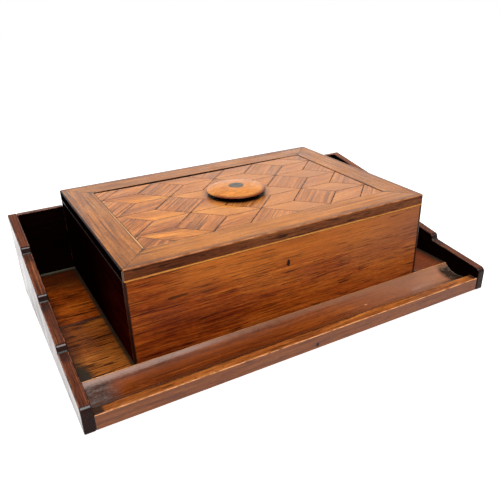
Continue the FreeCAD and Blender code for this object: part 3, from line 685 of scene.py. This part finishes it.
def trough_finish():
    """Red-brown wood under a grey film that thickens at both ends, with a painted sheen along the
    back rim and towards the right, a painted reflection of the box front below the rim, and
    painted shade in the front of the hollow.
    """
    made = wood("trough_red", "x", TROUGH_RED, 8, 0.5, dash=(50, 1000), shade=lighter_right,
                streaks=1.4)
    # Painted reflection of the box front: a brighter orange band below the back rim.
    made.tint(near(made, "Y", TROUGH_BACK - 8, 8, 0.22), (0.48, 0.12, 0.022))
    # Painted sheen: a paler pinkish veil towards the right end.
    made.tint(made.rise("X", 10, 135, 0.0, 0.7), (0.41, 0.2, 0.12))
    mottles = made.spots((220, 360, 360), 5, 0.72)
    patina = made.ramp(mottles, (0.36, (0.018, 0.011, 0.009)), (0.5, (0.062, 0.044, 0.038)),
                       (0.66, (0.15, 0.122, 0.108)))
    grime(made, near(made, "X", -BAY_OUTER, 40, 1.15), patina, 0.8)
    crust = made.ramp(mottles, (0.4, (0.01, 0.008, 0.006)), (0.56, (0.03, 0.024, 0.018)),
                      (0.7, (0.2, 0.16, 0.12)))
    grime(made, near(made, "X", BAY_OUTER, 24, 1.35), crust, 0.95)
    grime(made, near(made, "X", BAY_OUTER, 2.2), (0.17, 0.15, 0.12), 0.8)
    # Painted sheen: a pale pinkish band along the back rim.
    grime(made, near(made, "Y", TROUGH_BACK, 8, 0.8), (0.4, 0.18, 0.095), 0.72)
    rim = made.times(near(made, "Y", RAIL_BACK, 2.2), fading_right(made))
    grime(made, rim, (0.012, 0.005, 0.003), 0.9)
    # Painted shade in the front of the hollow.
    made.tint(near(made, "Y", RAIL_BACK + 6.5, 5.5, 0.5), (0.06, 0.014, 0.004))
    made.tint(dent(made, CHIP_AT, CHIP_HALF), (0.8, 0.5, 0.3))
    polish(made, 0.15, 0.3, 0.65, 0.3, coat_rough=0.16)
    ridges = made.spots((110, 1300, 1300), 3, 0.6, shift=made.shift)
    made.look(Coat_Normal=made.bump(ridges, 0.06 * MM, 0.8))
    return made


cover(trough, body=trough_finish())
apply(trough, "BEVEL", width=0.3 * MM, segments=2, limit_method="ANGLE",
      angle_limit=math.radians(25))
even_shading(trough)
stand_for(trough, "pen_trough")
print("cove turns", round(math.degrees(cove_turn), 1), "degrees in", COVE_STEPS, "steps")

# %% Front rail
rail_edge = worn("rubbed_rail", 3, (0.28, 0.09, 0.034), (0.8, 0.38, 0.18), 0.36, 0.08)
# Painted shade for the rail's ends, in the gaps against the end boards.
sooty = worn("sooty_end", 10, (0.008, 0.004, 0.003), (0.05, 0.02, 0.012), 0.5)
hollow_arris = worn("hollow_arris", 12, (0.035, 0.011, 0.004), (0.09, 0.03, 0.011), 0.5, 0.0)
SPECKS_AT = (-108, -105.6), (-99, -105.8), (-84, -106), (-78, -104.6), (-63, -105.9)
SPECK_HALF = (0.9, 0.7, 1)
KNOT_AT, KNOT_HALF = (-1, None, 4.5), (1.6, 1, 2.4)


def rail_finish():
    """Brown wood, black along the hollow and at both ends, with a knot and some specks."""
    made = wood("rail_brown", "x", RAIL_BROWN, 9, 0.6, dash=(50, 1000), streaks=1.4)
    specks = made.spots((60, 300, 200), 2, 0.6)
    line = made.times(near(made, "Y", RAIL_BACK, 2.4), made.span(specks, 0.25, 0.5, 0.3, 1.0))
    grime(made, made.times(line, fading_right(made)), (0.01, 0.004, 0.002), 0.95)
    on_top = made.rise("Z", 11.6, 12.3)
    second = made.times(near(made, "Y", RAIL_BACK - 4.2, 1.3),
                        made.span(specks, 0.62, 0.42, 0.0, 0.6))
    made.tint(second, (0.06, 0.014, 0.004))
    near_end = made.times(near(made, "X", -BAY_OUTER, 12), on_top)
    far_end = made.times(near(made, "X", BAY_OUTER, 9), on_top)
    ends = made.plus(near_end, made.times(far_end, 0.7))
    grime(made, made.times(ends, 1.6), (0.02, 0.012, 0.009), 0.9)
    made.tint(made.minus(1.0, on_top), (0.25, 0.105, 0.072), 0.5)
    for x, y in SPECKS_AT:
        made.tint(dent(made, (x, y, None), SPECK_HALF), (0.02, 0.007, 0.003))
    made.tint(dent(made, KNOT_AT, KNOT_HALF), (0.02, 0.008, 0.005))
    return polish(made, coat=0.05, specular=0.12)


rail = dressed("front_rail", rail_finish(), 0.5, rail_edge)
places = cover(rail, sooty=sooty, hollow=hollow_arris)
for face in rail.data.polygons:
    # The rail's end faces get painted shade.
    if abs(face.center.x / MM) > BAY_OUTER - 1:
        face.material_index = places["sooty"]
    elif face.material_index == ARRIS and face.center.y / MM > RAIL_BACK - 1:
        face.material_index = places["hollow"]

# %% [markdown]
# ## The box
#
# The box front is the best board on the piece: orange-brown hardwood, full of short dark
# pores that run with the grain, darker towards its foot. A line of boxwood closes the top
# of the walls and shows as a gold thread under the lid. The left side, the boxwood line on
# it and the arrises on the left half are painted dark as shade.

# %% Walls
FRONT_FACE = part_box("box_front")[0].y / MM
FIELD_MIDDLE = Vector((0, (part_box("box_front")[0].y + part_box("box_back")[1].y) / 2, 0))
MARK_AT, MARK_HALF = (-4, None, 58.0), (2.0, 1, 3.9)


def darker_foot(made):
    """Lowers the tone towards the foot of the wall and its left end."""
    return made.plus(made.rise("Z", 12, 80, -0.012, 0.055, smooth=False),
                     made.rise("X", -120, 10, -0.035, 0.022))


def front_wear(made):
    """A paler veil at the right, a brighter band along the top, painted shade down both corners
    and one small mark.
    """
    veil = made.times(made.rise("X", 0, 135, 0.0, 0.68), made.rise("Z", 22, 66, 0.15, 1.0))
    made.tint(veil, (0.3, 0.115, 0.063))
    paler_share = made.times(made.rise("X", -114, -74, 0.0, 0.32), made.rise("X", 60, 125, 1.0, 0.35))
    made.tint(made.times(paler_share, made.rise("Z", 48, 69)), (0.88, 0.27, 0.045))
    made.tint(made.pore, (0.06, 0.01, 0.003), 0.3)
    # Painted shade down both corners of the front.
    for place, reach in ((BOX_SIDE - 2, 2.5), (-BOX_SIDE + 0.8, 2.2)):
        grime(made, near(made, "X", place, reach), (0.008, 0.003, 0.002), 0.95)
    made.tint(dent(made, MARK_AT, MARK_HALF), (0.008, 0.003, 0.002))


box_edge = worn("rubbed_box", 4, (0.06, 0.018, 0.008), (0.36, 0.14, 0.06), 0.5, 0.05)
# Painted shade for the arrises on the left, which the light doesn't reach.
sooty_edge = worn("sooty_box", 9, (0.008, 0.003, 0.002), (0.05, 0.017, 0.01), 0.5, 0.05)
for seed, node in enumerate(("box_front", "box_back", "box_left_side", "box_right_side"),
                            start=31):
    shaded, along = node == "box_left_side", grain(node)
    wall = wood(node + "_red", along, BOX_SHADED if shaded else BOX_RED, seed, 0.8,
                shade=darker_foot, streaks=1.2, dash=(42, 1300), line=(24, 650), ripple=0.13)
    # The left side is painted as shade: near black at the back and top, dark red towards its front
    # foot.
    if shaded:
        lit = wall.times(wall.rise("Y", FRONT_FACE, 30, 1.0, 0.0),
                         wall.rise("Z", 24, 74, 1.0, 0.25))
        wall.colour = wall.blend(lit, (0.006, 0.0004, 0.0002), wall.colour)
    if node == "box_front":
        front_wear(wall)
    board = dressed(node, polish(wall, coat=0.0, specular=0.0 if shaded else 0.07), 0.3, box_edge)
    inside = polish(wood(node + "_inside", along, BOX_INNER, seed, 0.7), 0.4, 0.6, 0.0, 0.1)
    places = cover(board, sooty=sooty_edge, inside=inside)
    inward = FIELD_MIDDLE - (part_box(node)[0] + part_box(node)[1]) / 2
    inward.z = 0
    for face in board.data.polygons:
        # Arrises on the left half get painted shade.
        if face.material_index == ARRIS and face.center.x < 0:
            face.material_index = places["sooty"]
        elif face.normal.dot(inward.normalized()) > 0.95:
            face.material_index = places["inside"]

for seed, side in enumerate(("front", "back", "left", "right"), start=36):
    # The left boxwood line is painted dark as shade.
    node, colours = "edging_" + side, HONEY_IN_SHADE if side == "left" else HONEY
    boxwood = wood("boxwood_" + side, grain(node), colours, seed, 0.1)
    dressed(node, polish(boxwood, specular=0.1, coat=0.0), 0.08)

# %% Inside boards
for seed, node in enumerate(("long_divider", "left_well_divider", "right_well_divider"), start=41):
    plain = wood(node + "_plain", grain(node), PLAIN_INNER, seed, 0.4)
    dressed(node, polish(plain, 0.45, 0.65, 0.05), 0.5)

# %% [markdown]
# ## The lid
#
# Four mitred members frame the parquetry. Their upright faces are a darker cut than their
# tops, and the arris between is rubbed to a pale broken line, lightened further as a painted
# highlight. The left member's upright face and arris are painted near black as shade, and
# the inner edges of the left and front members carry a painted highlight with a painted
# shadow line beside it.

# %% Lid frame
# A rubbed arris, lightened further as a painted highlight.
lid_edge = worn("rubbed_lid_and_highlight", 5, (0.26, 0.084, 0.028), (0.5, 0.2, 0.085), 0.42, 0.05)


def paler_right(made):
    """Lifts the tone of the upright faces from left to right."""
    return made.rise("X", -135, 20, -0.1, 0.11)


mitre_line = Finish("mitre_line", (0.1, 0.1, 0.1))
mitre_line.pore = mitre_line.spots(200)
mitre_line.colour = mitre_line.ramp(mitre_line.pore, (0.4, (0.015, 0.006, 0.004)),
                                    (0.65, (0.1, 0.035, 0.014)))
polish(mitre_line, 0.4, 0.6)
LID_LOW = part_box("lid_frame_left")[0] / MM
LID_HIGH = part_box("lid_frame_right")[1] / MM
LID_MIDDLE = (LID_LOW + LID_HIGH) / 2
FRAME_WIDTH = 23.6
LID_COAT = 0.4
LID_SIDES = {"front": ("Y", LID_LOW.y, (0, -1, 0)), "back": ("Y", LID_HIGH.y, (0, 1, 0)),
             "left": ("X", LID_LOW.x, (-1, 0, 0)), "right": ("X", LID_HIGH.x, (1, 0, 0))}


def rubbed_inside(made, axis, place):
    """A painted highlight as a pale broken thread along the inner edge, and a painted shadow line
    beside it.
    """
    breaks = made.span(made.spots(50, 4, 0.7), 0.3, 0.6, 0.35, 1.0)
    breaks = made.times(breaks, made.rise("Y", -40, 70, 1.0, 0.12))
    beside = made.times(near(made, axis, place - 1.2, 0.9), breaks)
    made.tint(beside, (0.03, 0.01, 0.004), 0.7)
    thread = made.times(near(made, axis, place, 0.8), breaks)
    made.tint(thread, (0.9, 0.52, 0.22), 0.8)


def mitre_paint(made):
    """The filled joint across each corner, widest at its inner end."""
    part = made.add("SeparateXYZ", Vector=made.place(shift=(0, -LID_MIDDLE.y * MM, 0)))
    from_side = made.minus(LID_HIGH.x * MM, made.math("ABSOLUTE", part.outputs["X"]))
    from_end = made.minus((LID_HIGH.y - LID_MIDDLE.y) * MM,
                          made.math("ABSOLUTE", part.outputs["Y"]))
    gap = made.math("ABSOLUTE", made.minus(from_side, from_end))
    width = made.span(from_side, 17 * MM, FRAME_WIDTH * MM, 0.8 * MM, 3.2 * MM)
    share = made.minus(1.0, made.math("DIVIDE", gap, width), clamp=True)
    share = made.times(share, made.span(from_side, 12 * MM, 19 * MM, 0.25, 0.85))
    made.tint(share, (0.02, 0.01, 0.006))


def on_mitre(middle):
    """Whether a point in mm is on one of the four joints across the corners."""
    from_side = LID_HIGH.x - abs(middle.x)
    from_end = (LID_HIGH.y - LID_LOW.y) / 2 - abs(middle.y - LID_MIDDLE.y)
    return abs(from_side - from_end) < 0.9


for seed, (side, (axis, place, facing)) in enumerate(LID_SIDES.items(), start=51):
    at_left, along = side == "left", grain("lid_frame_" + side)
    # The left member's upright face is painted near black as shade.
    edge_brown = polish(wood("lid_edge_" + side, along, SHADE_BLACK if at_left else EDGE_BROWN,
                             seed - 2, 0.8, streaks=1.3, shade=paler_right),
                        coat=0.0, specular=0.0 if at_left else 0.06)
    made = wood("lid_frame_" + side, along, LID_TAN, seed, 0.5, streaks=1.2, dash=(22, 1000),
                ripple=0.1)
    if at_left:
        waves = made.spots((130, 11, 1), 3, 0.6, 0.6, shift=made.shift)
        streak = made.times(made.span(waves, 0.5, 0.6), near(made, "X", LID_LOW.x + 6, 11))
        made.tint(streak, (0.11, 0.045, 0.03), 0.6)
    if at_left or side == "front":
        rubbed_inside(made, axis, place + FRAME_WIDTH - 0.5)
    if side == "front":
        made.tint(made.rise("X", -112, -80, 0.0, 0.2), (0.92, 0.33, 0.06))
    corner = made.times(near(made, "X", LID_LOW.x, 40), near(made, "Y", LID_LOW.y, 40))
    made.tint(corner, (0.2, 0.068, 0.018), 0.5)
    grime(made, near(made, axis, place, 3 if at_left else 11, 0.8), (0.11, 0.04, 0.02), 0.75)
    mitre_paint(made)
    # The left member's arris gets painted shade.
    member = dressed("lid_frame_" + side, polish(made, 0.2, 0.4, LID_COAT, 0.2), 0.3,
                     sooty_edge if at_left else lid_edge)
    places = cover(member, upright=edge_brown, mitre=mitre_line)
    for face in member.data.polygons:
        out = face.normal.dot(Vector(facing))
        if out > 0.9:
            face.material_index = places["upright"]
        elif out < -0.9:
            face.material_index = places["mitre"]
        elif out > 0.2 and face.normal.z > 0.2:
            face.material_index = ARRIS
        elif face.material_index == ARRIS and on_mitre(face.center / MM):
            face.material_index = places["mitre"]

for side in LID_SIDES:
    node = "lid_lip_" + side
    plain = wood(node, grain(node), PLAIN_INNER, 60 + len(side), 0.4)
    dressed(node, polish(plain, 0.45, 0.6, 0.1), 0.5)
# The ground under the parquetry is painted near black, as painted shade in the gap at its back.
dressed("lid_ground", polish(wood("lid_ground", "x", NIGHT, 66, 0.3), 0.5, 0.7, 0.0), 0.2)

# %% [markdown]
# ## Parquetry
#
# Tumbling blocks: a dark square stands on its point, and two pale rhombs lie at its left,
# so that each group of three looks like a cube. The grain runs a different way in each
# wood. Each tile's top is inset once: the narrow ring is the glue line, and each side of
# it gets the line that the joint shows, black along one diagonal, dotted along the rows
# and faint on the other.

# %% Parquetry
LINE_WIDTH = 0.42
STRONG, DOTTED, SOFT = 1, 2, 3


def joint(name, colour, broken):
    """The filled joint between two tiles, whole or broken into dashes."""
    made = Finish(name, (0.3, 0.3, 0.3))
    made.pore = made.spots(260, 3, 0.7)
    made.colour = made.ramp(made.pore, (broken, (0.3, 0.115, 0.045)), (broken + 0.08, colour))
    return polish(made, 0.35, 0.5, 0.05, 0.1)


strong_joint = joint("dark_joint", (0.03, 0.013, 0.007), 0.38)
dotted_joint = joint("dotted_joint", (0.06, 0.022, 0.01), 0.47)
soft_joint = joint("soft_joint", (0.11, 0.04, 0.018), 0.45)


def tile_tone(made):
    """Each tile's own tone, and the flash of its middle."""
    along, across = made.painted("along"), made.painted("across")
    spread = made.plus(made.times(along, along), made.times(made.times(across, across), 2.2))
    return made.plus(made.painted("own_tone"), made.span(spread, 0.05, 1.1, 0.1, -0.1))


def hatched(made):
    """Dark and pale stripes that run along one diagonal of the squares."""
    stripes = made.times(made.minus(made.spots(40, 1), 0.5), 0.1)
    return made.plus(made.painted("own_tone"), stripes)


def tile_paint(piece, tilt):
    """Paints on every tile its own tone and where each corner is along and across it."""
    mesh = piece.data
    owners = list(range(len(mesh.vertices)))

    def owner(index):
        while owners[index] != index:
            index = owners[index]
        return index

    for edge in mesh.edges:
        first, second = (owner(index) for index in edge.vertices)
        owners[first] = second
    groups = {}
    for vertex in mesh.vertices:
        groups.setdefault(owner(vertex.index), []).append(vertex)
    layers = {name: mesh.attributes.new(name, "FLOAT", "POINT")
              for name in ("own_tone", "along", "across")}
    direction = Vector((math.cos(tilt), math.sin(tilt), 0))
    sideways = Vector((-direction.y, direction.x, 0))
    for vertices in groups.values():
        middle = sum((v.co for v in vertices), Vector()) / len(vertices)
        reach = max(abs((v.co - middle).dot(direction)) for v in vertices)
        width = max(abs((v.co - middle).dot(sideways)) for v in vertices)
        tone = dice.uniform(-0.06, 0.06)
        for vertex in vertices:
            place = vertex.co - middle
            for name, value in (("own_tone", tone), ("along", place.dot(direction) / reach),
                                ("across", place.dot(sideways) / width)):
                layers[name].data[vertex.index].value = value
    return len(groups)


def ring_line(edge_direction):
    """Which joint a side of a tile shows."""
    if abs(edge_direction.y) < 0.2 or abs(edge_direction.x) < 0.2:
        return DOTTED
    return STRONG if edge_direction.x * edge_direction.y > 0 else SOFT


FIELD_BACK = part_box("parquetry_back_rhombs")[1].y / MM
GAP_MOST, GAP_MIDDLE, GAP_REACH = 3.0, -25.0, 110.0


def open_back_joint(piece):
    """The panel has shrunk away from the back member, most left of its middle."""
    for vertex in piece.data.vertices:
        x, y, _ = vertex.co / MM
        if y > FIELD_BACK - 0.6:
            bow = max(0.0, 1 - ((x - GAP_MIDDLE) / GAP_REACH) ** 2)
            vertex.co.y -= GAP_MOST * bow * MM


def under_knob(made):
    """Painted shadow under the knob's rim: near black under it, and a soft dark ring just outside.
    """
    away = made.length(made.place((1, 1, 0), (0, -LID_MIDDLE.y * MM, 0)))
    made.tint(made.span(away, 25 * MM, 31 * MM, 0.5, 0.0), (0.09, 0.02, 0.004))
    made.tint(made.span(away, 23.2 * MM, 25.2 * MM, 0.95, 0.0), (0.006, 0.003, 0.002))


dice = random.Random(7)


def tiles(node, colours, seed, tilt, pale_right=0.4, **settings):
    """The tiles of one wood, with their joints. The grain is tilted by an angle in degrees."""
    tilt = math.radians(tilt)
    piece = whole_copy(node, node + "_tiles")
    made = wood(node + "_wood", "x", colours, seed, turn=tilt, **settings)
    # The tiles grow paler towards the right.
    made.tint(made.rise("X", -100, 40, 0.0, pale_right), (0.5, 0.192, 0.062))
    under_knob(made)
    polish(made, 0.2, 0.38, LID_COAT, 0.2)
    cover(piece, body=made, strong=strong_joint, dotted=dotted_joint, soft=soft_joint)
    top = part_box(node)[1].z / MM
    pick(piece, lambda middle, normal: normal.z > 0.9 and middle.z > top - 0.1)
    bpy.ops.mesh.inset(thickness=LINE_WIDTH * MM, use_individual=True)
    done()
    inner = {index for face in piece.data.polygons if face.select for index in face.vertices}
    for face in piece.data.polygons:
        if face.select or face.normal.z < 0.9:
            continue
        outer = [piece.data.vertices[index].co for index in face.vertices if index not in inner]
        if len(outer) == 2:
            face.material_index = ring_line((outer[1] - outer[0]).normalized())
    open_back_joint(piece)
    count = tile_paint(piece, tilt)
    even_shading(piece)
    stand_for(piece, node)
    print(node, count, "tiles")


tiles("parquetry_squares", SQUARE_BROWN, 71, 45, shade=hatched, pores=0.7, dash=(18, 1050),
      open_grain=0.04, ripple=0.22)
RHOMB_GRAIN = {"shade": tile_tone, "pores": 0.35, "dash": (45, 1000)}
tiles("parquetry_back_rhombs", ROSE_TAN, 72, 12, ripple=0.1, **RHOMB_GRAIN)
tiles("parquetry_front_rhombs", AMBER, 73, -12, pale_right=0.8, ripple=0.08, **RHOMB_GRAIN)

# %% [markdown]
# ## The knob
#
# A low disc turned on a lathe. It is made the same way here: ring after ring is pulled up
# from the foot, wider or narrower, until the crown closes.

# %% Turned pieces


def turned(name, at, rings):
    """A piece of rings (radius, height) in mm, joined in turn and closed at both ends."""
    (radius, height), *others = rings
    piece = started(name, bpy.ops.mesh.primitive_circle_add, vertices=96, radius=radius * MM,
                    fill_type="NGON", location=Vector(at) + Vector((0, 0, height * MM)))
    edit(piece)
    for next_radius, next_height in others:
        step = (0, 0, (next_height - height) * MM)
        bpy.ops.mesh.extrude_region_move(TRANSFORM_OT_translate={"value": step})
        share = next_radius / radius
        bpy.ops.transform.resize(value=(share, share, 1))
        radius, height = next_radius, next_height
    done()
    close(piece, 0.001)
    bpy.ops.object.transform_apply(location=True)
    return piece


def quarter(middle, radius, first, last, count):
    """Points (radius, height) on a round of a profile, from one angle to another."""
    angles = (math.radians(first + (last - first) * k / count) for k in range(count + 1))
    return [(middle[0] + radius * math.cos(a), middle[1] + radius * math.sin(a)) for a in angles]


def smooth(piece):
    alone(piece)
    bpy.ops.object.shade_smooth_by_angle(angle=math.radians(30))


knob_low, knob_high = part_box("knob")
knob_at = (knob_low + knob_high) / 2
knob_at.z = knob_low.z
KNOB_RADIUS, RIM_UNDER, RIM_ROUND = 25.2, 1.6, 0.45
CROWN_HEIGHT, PLUG_RADIUS = 6.7, 6.6
DOME_START, DOME_STEPS = 3.9, 12
dome = [(KNOB_RADIUS - RIM_ROUND * 0.25 + (PLUG_RADIUS - KNOB_RADIUS) * k / DOME_STEPS,
         DOME_START + (CROWN_HEIGHT - DOME_START)
         * math.sin(math.pi / 2 * (k / DOME_STEPS) ** 0.95)) for k in range(1, DOME_STEPS + 1)]
knob_rings = ([(2.0, 0.0), (13.6, 0.0)] + quarter((13.6, 0.4), 0.4, -90, 0, 3)
              + [(14.0, 1.2), (14.4, RIM_UNDER), (20.0, RIM_UNDER), (22.6, 2.1), (24.3, 2.9)]
              + quarter((KNOB_RADIUS - RIM_ROUND, 3.5), RIM_ROUND, -30, 55, 5)
              + dome + [(PLUG_RADIUS, CROWN_HEIGHT - 0.6)])
knob = turned("knob_turned", knob_at, knob_rings)
made = wood("knob_tan", "x", KNOB_TAN, 81, 0.15)
centred = made.place((1, 1, 0), (0, -knob_at.y, 0))
nearer = made.add("SeparateXYZ", Vector=centred).outputs["Y"]
# Painted shade: the front of the rim darkens to a deep red.
front_rim_shade = made.times(made.span(made.length(centred), 20.8 * MM, 25 * MM),
                     made.span(nearer, -14 * MM, 2 * MM, 0.95, 0.0))
made.tint(front_rim_shade, (0.11, 0.014, 0.004))
polish(made, 0.2, 0.3, 0.12, 0.2, coat_rough=0.2)
# The rim's underside is painted near black as the shade under it.
under = polish(wood("knob_under_shade", "x", SHADE_BLACK, 83, 0.3), 0.5, 0.7, 0.0, 0.0)
places = cover(knob, body=made, under=under)
for face in knob.data.polygons:
    if face.normal.z < 0.3:
        face.material_index = places["under"]
smooth(knob)
stand_for(knob, "knob")

HORN = (0.03, 0.026, 0.02), (0.1, 0.085, 0.065), (0.2, 0.17, 0.13)
plug = turned("knob_plug_disc", knob_at + Vector((0, 0, 5.3 * MM)),
              [(1.0, 0.0), (6.3, 0.0), (6.5, 0.2), (6.5, 1.2)] + quarter((6.2, 1.2), 0.3, 0, 90, 3)
              + [(4.0, 1.45), (1.0, 1.35)])
cover(plug, body=polish(wood("plug_horn", "x", HORN, 82, 0.3), 0.3, 0.5, 0.5))
smooth(plug)
stand_for(plug, "knob_plug")

steel = Finish("steel_screw")
marks = steel.spots((900, 900, 300), 3)
steel.look(Metallic=1.0, Base_Color=(0.5, 0.5, 0.5, 1),
           Roughness=steel.span(marks, 0.3, 0.7, 0.2, 0.5))
screw = frame["nodes"]["knob_screw"]
screw.data.materials.clear()
cover(screw, body=steel)

# %% [markdown]
# ## The inkwells
#
# Two square bottles of thick glass stand under the lid. The photograph doesn't show them,
# so they are the plain kind: a round well, a brass collar, and a brass cap on a hinge.

# %% Glass and brass
glass = Finish("bottle_glass")
wear = glass.spots(120, 4, 0.6)
ripples = glass.spots(90)
glass.look(Transmission_Weight=1.0, IOR=1.52, Base_Color=(0.86, 0.93, 0.9, 1),
           Roughness=glass.span(wear, 0.4, 0.75, 0.01, 0.12),
           Normal=glass.bump(ripples, 0.0002, 0.3))

brass = Finish("aged_brass")
spots = brass.spots(170, 5, 0.65)
brass_colour = brass.ramp(spots, (0.34, (0.3, 0.17, 0.06)), (0.52, (0.62, 0.42, 0.15)),
                          (0.75, (0.78, 0.58, 0.26)))
brass.look(Base_Color=brass_colour, Metallic=1.0, Normal=brass.bump(spots, 0.0001, 0.3),
           Roughness=brass.span(spots, 0.35, 0.7, 0.42, 0.22))

for side in ("left", "right"):
    for name, made, soften in (("bottle", glass, 0.7), ("collar", brass, 0.2),
                               ("cap", brass, 0.3), ("hinge_pin", brass, 0.15)):
        dressed(f"{side}_{name}", made, soften)

# %% [markdown]
# ## The baize
#
# A sheet of green wool cloth is glued under the tray, so that it can't scratch the desk.

# %% Baize
cloth_low, cloth_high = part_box("baize_underlay")
cloth = started("baize_cloth", bpy.ops.mesh.primitive_plane_add, size=1)
middle = (cloth_low + cloth_high) / 2
size = cloth_high - cloth_low
for vertex in cloth.data.vertices:
    vertex.co = (middle.x + vertex.co.x * size.x, middle.y + vertex.co.y * size.y, cloth_high.z)
edit(cloth)
bpy.ops.mesh.subdivide(number_cuts=60)
done()
green = Finish("green_baize")
nap = green.spots(2600, 3, 0.7)
paler_share = green.spots(25, 3)
green_tone = green.plus(green.times(nap, 0.6), green.times(paler_share, 0.4))
green_colour = green.ramp(green_tone, (0.3, (0.006, 0.035, 0.016)), (0.5, (0.014, 0.08, 0.034)),
                          (0.75, (0.045, 0.16, 0.075)))
green.look(Base_Color=green_colour, Roughness=0.95, Sheen_Weight=0.4,
           Normal=green.bump(nap, 0.0004, 0.8))
cover(cloth, body=green)
apply(cloth, "SOLIDIFY", thickness=size.z, offset=-1)
stand_for(cloth, "baize_underlay")

# %% [markdown]
# ## Studio
#
# The photograph has a white ground and soft light from above and from the front. Two wide
# area lights do that. The floor and the air look white to the camera and in the polish, but
# light the piece little, because a truly white room would wash its dark woods out.

# %% Studio
FLOOR_HALF = 3.0
WHITE_NEAR, WHITE_FAR = 0.88, 1.0
FILL = 0.07
CEILING = 0.22
floor = started("studio_floor", bpy.ops.mesh.primitive_plane_add, size=2 * FLOOR_HALF,
                location=(0, 0, cad_low.z))

# White to the camera and in reflections, and a plain pale surface to the light.
white = Finish("studio_white")
rays = white.add("LightPath")
seen = white.most(*(rays.outputs[f"Is {ray} Ray"] for ray in ("Camera", "Glossy", "Transmission")))
shown = white.span(white.length(white.place()), 0.35, 0.9, WHITE_NEAR, WHITE_FAR)
white.look(Base_Color=(0.55, 0.55, 0.55, 1), Roughness=0.9, Specular_IOR_Level=0.0,
           Emission_Color=(1, 1, 1, 1), Emission_Strength=white.times(seen, shown))
cover(floor, body=white)

air = Finish("studio_air", kind="worlds", shader="Background")
bpy.context.scene.world = air.material
rays = air.add("LightPath")
sight = air.add("TexCoord").outputs["Generated"]
height = air.add("SeparateXYZ", Vector=sight).outputs["Z"]
sky = air.span(height, 0.2, 0.6, 1.0, CEILING, smooth=False)
strength = FILL
for ray, shown in (("Glossy", sky), ("Transmission", sky), ("Camera", 1.0)):
    mix = air.add("Mix")
    for socket, value in (("0", rays.outputs[f"Is {ray} Ray"]), ("2", strength), ("3", shown)):
        air.join(mix, socket, value)
    strength = mix.outputs[0]
air.look(Color=(1, 1, 1, 1), Strength=strength)


def soft_light(name, at, target, size, power, colour=(1, 1, 1)):
    data = bpy.data.lights.new(name, "AREA")
    data.shape = "RECTANGLE"
    data.size, data.size_y = size
    data.energy = power
    data.color = colour
    light = linked(name, data)
    light.location = at
    light.rotation_euler = (Vector(target) - Vector(at)).to_track_quat("-Z", "Y").to_euler()
    return light


soft_light("overhead", (0.05, 0.15, 1.1), (0, 0, 0), (0.7, 0.7), 10.5).visible_glossy = False
soft_light("front_strip", (-0.2, -0.9, 1.05), (0.05, -0.05, 0.04), (1.2, 1.2), 13.5)

bpy.context.scene.view_settings.view_transform = "Standard"
